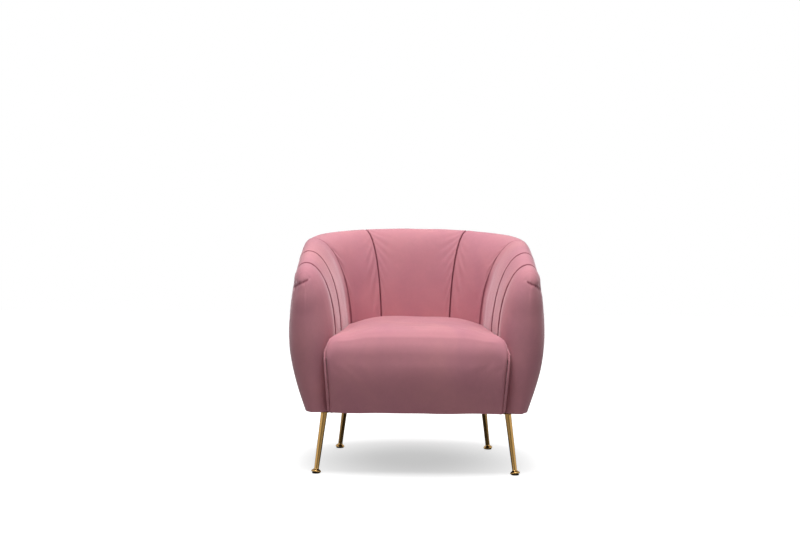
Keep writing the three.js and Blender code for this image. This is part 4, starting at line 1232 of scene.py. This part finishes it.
def stuffed(piece, pressure, cap):
    """Blow the seat up from inside.

    Its top and front swell by up to cap, and its sides and underside are held.
    """
    start = read_points(piece)
    normals = read_points(piece, "vertex_normals", "vector")
    shown = clamp01((np.maximum(normals[:, 2], -normals[:, 1]) - FACING_LEAST) / FACING_RANGE)
    from_side = ease((SEAT_HALF - HELD_SIDE - np.abs(start[:, 0])) / FREE_SIDE)
    from_foot = ease((start[:, 2] - BODY_Z - HELD_FOOT) / FREE_FOOT)
    free = shown * from_side * from_foot
    slack = start - normals * (cap * SLACK_SHARE * free)[:, None]
    write_points(piece, slack)
    held = np.flatnonzero(free < HELD_SHARE).tolist()
    piece.vertex_groups.new(name="held").add(held, 1.0, "REPLACE")
    add_cloth(piece, pressure, "held")
    rise = ((simulated(piece, SEAT_FRAMES) - slack) * normals).sum(axis=1)
    piece.modifiers.clear()
    piece.vertex_groups.clear()
    room = np.maximum(cap * free, 1e-9)
    write_points(piece, slack + normals * (room * np.tanh(np.maximum(rise, 0) / room))[:, None])


def ruffle(seat, height, seed):
    """Move the seat's points along their normals by unevenness, which fades towards its sides."""
    points = read_points(seat)
    normals = read_points(seat, "vertex_normals", "vector")
    height = height * clamp01((SEAT_HALF - RUFFLE_MARGIN - np.abs(points[:, 0])) / RUFFLE_FADE)
    write_points(seat, points + normals * (height * swell(points, RUFFLE_SCALE, seed))[:, None])


def piping_path(side, diameter):
    """Where the piping lies: up between the arm's nose and the seat, and down the front corner."""
    reach = diameter / 2 + PIPING_CLEAR
    around = SEAT_CORNER + reach
    path = []
    for (x, y, _), rise in zip(nose_places(np.array(PIPING_CAPS)), PIPING_RISE):
        path.append((x - reach - PIPING_ASIDE, y, float(seat_top(x, y)) + rise))
    for past in PIPING_SHARES:
        y = BODY_FRONT + WATERFALL_RUN * (1 - past)
        z = seat_top(SEAT_HALF, y) - SEAT_SIDE_ROUND / 2 - reach
        path.append((SEAT_HALF + reach, y + SEAT_CORNER / 2, z))
    corner_x = SEAT_HALF - SEAT_CORNER + around * math.cos(PIPING_TURN)
    corner_y = BODY_FRONT + SEAT_CORNER - around * math.sin(PIPING_TURN)
    knee = seat_top(SEAT_HALF, BODY_FRONT) - SEAT_SIDE_ROUND / 2
    for share in np.linspace(0, 1, PIPING_DOWN_STEPS)[1:]:
        x = corner_x - SEAT_FRONT_TAPER * share
        y = corner_y + SEAT_FRONT_SLOPE * share**SEAT_FRONT_BEND
        path.append((x, y, blend(knee, BODY_Z + diameter / 2, share)))
    return [Vector((x * side, y, z)) for x, y, z in path]


def smooth_path(points, steps):
    """A curve through the points, as evenly counted places on it."""
    ends = [points[0] * 2 - points[1], *points, points[-1] * 2 - points[-2]]
    made = []
    for a, b, c, d in zip(ends, ends[1:], ends[2:], ends[3:]):
        for i in range(steps):
            t = i / steps
            bend = (2 * a - 5 * b + 4 * c - d) * t**2
            twist = (3 * b - a - 3 * c + d) * t**3
            made.append(0.5 * (2 * b + (c - a) * t + bend + twist))
    return [*made, points[-1]]


def piping(name, path, diameter):
    """A covered cord along a path, a little uneven in its wrapping, and narrow at its ends."""
    points = []
    for i, place in enumerate(path):
        heading = (path[min(i + 1, len(path) - 1)] - path[max(i - 1, 0)]).normalized()
        across = heading.cross(Vector((1, 0, 0))).normalized()
        up = heading.cross(across)
        ending = min(i, len(path) - 1 - i)
        radius = diameter / 2 * PIPING_ENDS[min(ending, 2)]
        for k in range(PIPING_SIDES):
            turn = 2 * math.pi * k / PIPING_SIDES
            wrap = 1 + PIPING_WRAP * math.sin(i * PIPING_WRAP_TURN + turn)
            points.append(place + (across * math.cos(turn) + up * math.sin(turn)) * radius * wrap)
    at = np.arange(len(points)).reshape(len(path), PIPING_SIDES)
    faces = quad_rows(np.concatenate([at, at[:, :1]], axis=1)).tolist()
    faces += [at[0, ::-1].tolist(), at[-1].tolist()]
    return solid_mesh(name, points, faces)


def turned(profile, foot, top, sides):
    """Points and faces of a turned form: profile lists (radius, height) from the foot up."""
    axis = (top - foot).normalized()
    lean = UPWARDS.rotation_difference(axis).to_matrix()
    points = []
    for radius, along in profile:
        for k in range(sides):
            turn = 2 * math.pi * k / sides
            around = Vector((radius * math.cos(turn), radius * math.sin(turn), along))
            points.append(foot + lean @ around)
    at = np.arange(len(points)).reshape(len(profile), sides)
    faces = quad_rows(np.concatenate([at, at[:, :1]], axis=1)).tolist()
    faces += [at[0, ::-1].tolist(), at[-1].tolist()]
    return points, faces


def joined(name, *parts):
    """One object of several forms, each given as points and faces."""
    points, faces = [], []
    for more, index in parts:
        faces += [[i + len(points) for i in face] for face in index]
        points += more
    return solid_mesh(name, points, faces)


def leg_profile(length):
    """The leg in section: a domed disc foot, and a shaft that thickens upwards."""
    radius, height = FOOT_D / 2, FOOT_HEIGHT
    profile = [(radius * wide, height * tall) for wide, tall in FOOT_DOME]
    low = LEG_FOOT_D / 2
    collar_top = height * LEG_COLLAR_TOP
    profile += [(low + LEG_COLLAR, height * LEG_COLLAR_LOW), (low, collar_top)]
    for share in LEG_SHARES:
        profile.append((blend(low, LEG_TOP_D / 2, share), blend(collar_top, length, share)))
    return profile


def plate_profile():
    """The mounting plate in section: a disc with its edges broken."""
    wide = PLATE_D / 2
    rim = [(wide - PLATE_ROUND, 0), (wide, PLATE_ROUND)]
    return [*rim, (wide, PLATE - PLATE_BEVEL), (wide - PLATE_BEVEL, PLATE)]


def dust_sheet(name):
    """A thin sheet that hangs a little between its edge and the legs' plates, and its outline."""
    caps = np.append(np.zeros(DUST_STATIONS), DUST_CAPS)
    runs = np.append(np.linspace(0, RIDGE.end, DUST_STATIONS), np.full(len(DUST_CAPS), RIDGE.end))
    foot = np.full((len(runs), 1), BODY_Z)
    half = Stations(runs, caps).points("outer", foot, DUST_INSET)[:, 0, :2]
    front = BODY_FRONT + SEAT_FRONT_SLOPE + DUST_FRONT_INSET
    half = np.concatenate([half, [(SEAT_HALF, front), (SEAT_HALF / 2, front), (0, front)]])
    outline = np.concatenate([half, half[1:-1][::-1] * (-1, 1)])
    shares = np.sqrt(np.linspace(0, 1, DUST_RINGS)[1:])
    plan = shares[:, None, None] * outline
    plates = [(x * way, y) for x, y, _ in LEG_TOPS.values() for _, way in SIDES]
    hang = ease((1 - shares) / DUST_SLOPE)[:, None] * np.ones(len(outline))
    for plate in plates:
        away = np.linalg.norm(plan - plate, axis=2)
        hang = hang * ease((away - DUST_PLATE_HELD) / DUST_PLATE_FREE)
    under = np.concatenate([plan, (DUST_Z - DUST_SAG * hang)[..., None]], axis=2)
    wrinkle = DUST_WRINKLE * (1 + swell(under, DUST_SCALE, SEEDS["dust"]))
    under[..., 2] -= wrinkle * (1 - shares[:, None]) ** 0.5 * (hang > 0)
    points = np.concatenate([under.reshape(-1, 3), [(0, 0, under[0, :, 2].mean())]])
    over = points + (0, 0, DUST_THICK)
    at = np.arange(plan.shape[0] * plan.shape[1]).reshape(plan.shape[:2])
    at = np.concatenate([at, at[:, :1]], axis=1)
    middle, above = len(points) - 1, len(points)
    faces = quad_rows(at).tolist() + (quad_rows(at)[:, ::-1] + above).tolist()
    faces += strip(at[-1], at[-1] + above).tolist()
    for a, b in zip(at[0, :-1].tolist(), at[0, 1:].tolist()):
        faces += [(middle, a, b), (middle + above, b + above, a + above)]
    return solid_mesh(name, np.concatenate([points, over]), faces), outline


def felt_pad(name, corners):
    """A flat pad with a slightly uneven top and soft edges, inside a box."""
    low, high = (np.array(corner) for corner in corners)
    steps = np.linspace(0, 1, FELT_STEPS)
    u, v = np.meshgrid(steps, steps, indexing="ij")
    x, y = blend(low[0], high[0], u), blend(low[1], high[1], v)
    edge = np.minimum.reduce([u, 1 - u, v, 1 - v])
    rounding = FELT_ROUND * roll(edge, FELT_EDGE)
    top = np.stack([x, y, high[2] - rounding], axis=-1)
    top[..., 2] -= FELT_UNEVEN * (1 + swell(top, FELT_SCALE, SEEDS["felt"])) / 2
    bottom = np.stack([x, y, low[2] + FELT_CLEAR + rounding], axis=-1)
    return pad_mesh(name, top, bottom, np.zeros(x.shape))


# The studio


def floor_finish():
    """White to the camera far from the chair, with a painted shadow: nearer the chair its glow
    falls, darkening the floor round and under the chair on top of the chair's own soft shadow.
    """
    grey = (0.36, 0.36, 0.36, 1.0)
    floor = Finish("studio_floor", Base_Color=grey, Roughness=1.0, Specular_IOR_Level=0.0)
    place = floor.stretched(floor.place(), (1.4, 1.0, 1.0))
    seen = floor.node("LightPath", output="Is Camera Ray")
    away = floor.node("VectorMath", {"operation": "LENGTH"}, {0: place}, output="Value")
    # Painted shadow: the glow the camera sees falls from 1.0 to 0.54 towards the middle under the
    # chair.
    glow_with_painted_shadow = seen * floor.between(away, 0.08, 0.82, 0.54, 1.0, "SMOOTHSTEP")
    return floor.set(Emission_Color=floor.shade((1.0, 1.0, 1.0), glow_with_painted_shadow), Emission_Strength=1.0)


def studio_world(sky, mirrored):
    """Even light all round, white to the camera, and to the metal two pale walls at the sides."""
    world = bpy.data.worlds.new("studio")
    nodes = Nodes(world, "World")
    seen = nodes.node("LightPath", output="Is Camera Ray")
    seen = seen + nodes.node("LightPath", output="Is Transmission Ray")
    glossy = nodes.node("LightPath", output="Is Glossy Ray")
    way = nodes.node("SeparateXYZ", inputs={0: nodes.node("TexCoord", output="Generated")})
    beside = nodes.between(way.maths("ABSOLUTE"), 0.15, 0.7, 0.4, 1.5, "SMOOTHSTEP")
    strength = sky + seen.limited() * (1 - sky) + glossy * (beside * mirrored - sky)
    nodes.end("Background", Color=(1.0, 1.0, 1.0), Strength=strength)
    return world


def add_area(name, power, size, place, aim):
    data = bpy.data.lights.new(name, "AREA")
    data.energy = power
    data.shape = "DISK"
    data.size = size
    lamp = bpy.data.objects.new(name, data)
    lamp.location = place
    lamp.rotation_euler = (Vector(aim) - Vector(place)).to_track_quat("-Z", "Y").to_euler()
    bpy.context.scene.collection.objects.link(lamp)


def add_camera():
    """A camera low in front of the chair, turned slightly as it was held."""
    data = bpy.data.cameras.new("camera")
    data.sensor_width = SENSOR_MM
    data.lens = LENS_MM
    camera = bpy.data.objects.new("camera", data)
    turn = (
        Matrix.Rotation(CAMERA_YAW, 4, "Z")
        @ Matrix.Rotation(CAMERA_TILT, 4, "X")
        @ Matrix.Rotation(CAMERA_ROLL, 4, "Z")
    )
    camera.matrix_world = Matrix.Translation(CAMERA_PLACE) @ turn
    bpy.context.scene.collection.objects.link(camera)
    return camera


# One operator for each piece or group of like pieces


CARRIED = {
    "front_rail": "timber",
    "back_rail": "timber",
    "side_rail": "timber",
    "front_corner_block": "timber",
    "back_corner_block": "timber",
    "back_rib": "plywood",
    "corner_rib": "plywood",
    "arm_rib": "plywood",
    "arm_front_rib": "plywood",
    "arm_top_rail": "plywood",
    "back_top_rail": "plywood",
    "seat_spring": "steel",
    "leg_screw": "steel",
}


class ARMCHAIR_OT_inside_back(bpy.types.Operator):
    """Make the three pads of the inside back"""

    bl_idname = "armchair.inside_back"
    bl_label = "Inside back pads"

    def execute(self, context):
        cloth = context.scene.armchair_cloth
        first = ARM_SEAM_RUNS[0]
        puff, runs = cloth.back_puff, (-BACK_SEAM_RUN, BACK_SEAM_RUN)
        middle = inside_pad("back_pad_centre", *runs, cloth, puff, SEEDS["back"], BACK_SHADE_REACH)
        dress(middle, "velvet", finish_for("velvet"), "inside_back_pad_centre", fill=PAD_FILL)
        for seed, (side, way) in enumerate(SIDES, SEEDS["back_side"]):
            runs = (way * BACK_SEAM_RUN, way * first)
            pad = inside_pad(f"back_pad_side_{side}", *runs, cloth, puff, seed, SIDE_SHADE_REACH)
            name = f"inside_back_pad_side_{side}"
            dress(pad, "velvet", finish_for("velvet"), name, fill=PAD_FILL)
        return {"FINISHED"}


class ARMCHAIR_OT_arm_pleats(bpy.types.Operator):
    """Make the two narrow pads of each arm"""

    bl_idname = "armchair.arm_pleats"
    bl_label = "Arm pleats"

    def execute(self, context):
        cloth = context.scene.armchair_cloth
        first, second, third = ARM_SEAM_RUNS
        settings = (cloth, cloth.pleat_puff)
        for seed, (side, way) in enumerate(SIDES, SEEDS["pleat"]):
            for place, low, high in (("rear", first, second), ("front", second, third)):
                name, runs = f"pleat_{place}_{side}", (way * low, way * high)
                pleat = inside_pad(name, *runs, *settings, seed, PLEAT_SHADE_REACH, PLEAT_DEEP)
                dress(pleat, "velvet", finish_for("velvet"), f"arm_{name}", fill=PAD_FILL)
        return {"FINISHED"}


class ARMCHAIR_OT_arm_fronts(bpy.types.Operator):
    """Make the pads that wrap the front of the arms"""

    bl_idname = "armchair.arm_fronts"
    bl_label = "Arm fronts"

    def execute(self, context):
        cloth = context.scene.armchair_cloth
        for seed, (side, way) in enumerate(SIDES, SEEDS["arm_front"]):
            pad = arm_front_pad(f"arm_front_{side}", way, cloth, seed)
            dress(pad, "velvet", finish_for("velvet"), f"arm_front_pad_{side}", fill=PAD_FILL)
        return {"FINISHED"}


class ARMCHAIR_OT_outside_covers(bpy.types.Operator):
    """Make the covers of the outside back and the outside arms"""

    bl_idname = "armchair.outside_covers"
    bl_label = "Outside covers"

    def execute(self, context):
        cloth = context.scene.armchair_cloth
        first, _, third = ARM_SEAM_RUNS
        back = outside_panel("outside_back", -first, first, cloth, SEEDS["outside_back"])
        dress(back, "velvet", finish_for("velvet"), "outside_back_cover", fill=COVER_FILL)
        for seed, (side, way) in enumerate(SIDES, SEEDS["outside_arm"]):
            arm = outside_panel(f"outside_arm_{side}", way * first, way * third, cloth, seed)
            name = f"outside_arm_cover_{side}"
            dress(arm, "velvet", finish_for("velvet"), name, fill=COVER_FILL)
        return {"FINISHED"}


class ARMCHAIR_OT_seat(bpy.types.Operator):
    """Make the stuffed seat and the felt pad under it"""

    bl_idname = "armchair.seat"
    bl_label = "Seat"

    def execute(self, context):
        cloth = context.scene.armchair_cloth
        seat = seat_form("seat", cloth)
        stuffed(seat, cloth.pressure, cloth.seat_puff)
        ruffle(seat, cloth.ripple * RUFFLE, SEEDS["seat"])
        dress(seat, "velvet", finish_for("velvet"), "seat_cover", "seat_foam", fill=COVER_FILL)
        felt = felt_pad("spring_felt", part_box("seat_felt"))
        dress(felt, "felt", finish_for("felt"), "seat_felt", fill=COVER_FILL)
        return {"FINISHED"}


class ARMCHAIR_OT_seat_piping(bpy.types.Operator):
    """Make the piping on each side of the seat's front"""

    bl_idname = "armchair.seat_piping"
    bl_label = "Seat piping"

    def execute(self, context):
        diameter = context.scene.armchair_cloth.piping
        for side, way in SIDES:
            path = smooth_path(piping_path(way, diameter), PIPING_STEPS)
            cord = piping(f"piping_{side}", path, diameter)
            dress(cord, "velvet", finish_for("velvet"), f"seat_piping_{side}")
        return {"FINISHED"}


class ARMCHAIR_OT_legs(bpy.types.Operator):
    """Make the turned metal legs with their plates, and the glides under them"""

    bl_idname = "armchair.legs"
    bl_label = "Legs and glides"

    def execute(self, context):
        sides = context.scene.armchair_studio.leg_sides
        for place, (x, y, out_y) in LEG_TOPS.items():
            for side, way in SIDES:
                top = Vector((x * way, y, PLATE_UNDER_Z))
                foot = Vector(((x + LEG_SPLAY) * way, y + out_y * LEG_SPLAY, GLIDE_TOP_Z))
                shaft = turned(leg_profile((top - foot).length + PLATE / 2), foot, top, sides)
                x_in, y_in = (x - PLATE_INWARD) * way, y - out_y * PLATE_INWARD
                plate_at = Vector((x_in, y_in, PLATE_UNDER_Z))
                plate = turned(plate_profile(), plate_at, plate_at + UPWARDS, sides)
                leg = joined(f"turned_leg_{place}_{side}", shaft, plate)
                dress(leg, "brass", finish_for("brass"), f"leg_{place}_{side}")
                under = Vector((foot.x, foot.y, 0))
                glide = turned(GLIDE, under, under + UPWARDS, sides)
                glide = joined(f"foot_glide_{place}_{side}", glide)
                dress(glide, "plastic", finish_for("plastic"), f"glide_{place}_{side}")
        return {"FINISHED"}


class ARMCHAIR_OT_dust_cover(bpy.types.Operator):
    """Make the thin sheet stretched under the frame"""

    bl_idname = "armchair.dust_cover"
    bl_label = "Dust cover"

    def execute(self, context):
        sheet, outline = dust_sheet("dust_sheet")
        dress(sheet, "lining", finish_for("lining"), "dust_cover")
        return {"FINISHED"}


class ARMCHAIR_OT_frame_finish(bpy.types.Operator):
    """Finish the wooden frame, the springs and the screws"""

    bl_idname = "armchair.frame_finish"
    bl_label = "Frame finish"

    def execute(self, context):
        for name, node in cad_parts.items():
            slot = next((kind for start, kind in CARRIED.items() if name.startswith(start)), None)
            if slot is None:
                continue
            node.data.materials.clear()
            node.data.materials.append(finish_for(slot))
        return {"FINISHED"}


class ARMCHAIR_OT_studio(bpy.types.Operator):
    """Make the floor, the lights and the camera"""

    bl_idname = "armchair.studio"
    bl_label = "Studio"

    def execute(self, context):
        scene = context.scene
        studio = scene.armchair_studio
        corners = [(-1, -1), (1, -1), (1, 1), (-1, 1)]
        corners = [(x * FLOOR_HALF, y * FLOOR_HALF, 0) for x, y in corners]
        floor = solid_mesh("studio_floor", corners, [(0, 1, 2, 3)])
        floor.data.materials.append(floor_finish())
        scene.world = studio_world(studio.sky, studio.mirrored)
        add_area("key_light", studio.key, KEY_SIZE, KEY_PLACE, KEY_AIM)
        add_area("rim_light", studio.rim, RIM_SIZE, RIM_PLACE, RIM_AIM)
        scene.camera = add_camera()
        scene.view_settings.view_transform = "Standard"
        return {"FINISHED"}


class ARMCHAIR_PT_panel(bpy.types.Panel):
    """Lists what the armchair is made of"""

    bl_label = "Tub armchair"
    bl_idname = "ARMCHAIR_PT_panel"
    bl_space_type = "VIEW_3D"
    bl_region_type = "UI"
    bl_category = "Armchair"

    def draw(self, context):
        for step in STEPS:
            self.layout.operator(step.bl_idname)
        for group in ("armchair_cloth", "armchair_colours", "armchair_studio"):
            settings = getattr(context.scene, group)
            box = self.layout.box()
            for name in type(settings).__annotations__:
                box.prop(settings, name)


STEPS = (
    ARMCHAIR_OT_studio,
    ARMCHAIR_OT_inside_back,
    ARMCHAIR_OT_arm_pleats,
    ARMCHAIR_OT_arm_fronts,
    ARMCHAIR_OT_outside_covers,
    ARMCHAIR_OT_seat,
    ARMCHAIR_OT_seat_piping,
    ARMCHAIR_OT_legs,
    ARMCHAIR_OT_dust_cover,
    ARMCHAIR_OT_frame_finish,
)
SETTINGS = {
    "armchair_cloth": ChairCloth,
    "armchair_colours": ChairColours,
    "armchair_studio": ChairStudio,
}


def register():
    for kind in (*SETTINGS.values(), *STEPS, ARMCHAIR_PT_panel):
        bpy.utils.register_class(kind)
    for name, kind in SETTINGS.items():
        setattr(bpy.types.Scene, name, PointerProperty(type=kind))


def unregister():
    for name in SETTINGS:
        delattr(bpy.types.Scene, name)
    for kind in reversed((*SETTINGS.values(), *STEPS, ARMCHAIR_PT_panel)):
        bpy.utils.unregister_class(kind)


def main():
    register()
    bpy.ops.armchair.studio()
    bpy.ops.armchair.inside_back()
    bpy.ops.armchair.arm_pleats()
    bpy.ops.armchair.arm_fronts()
    bpy.ops.armchair.outside_covers()
    bpy.ops.armchair.seat()
    bpy.ops.armchair.seat_piping()
    bpy.ops.armchair.legs()
    bpy.ops.armchair.dust_cover()
    bpy.ops.armchair.frame_finish()


if __name__ == "__main__":
    main()
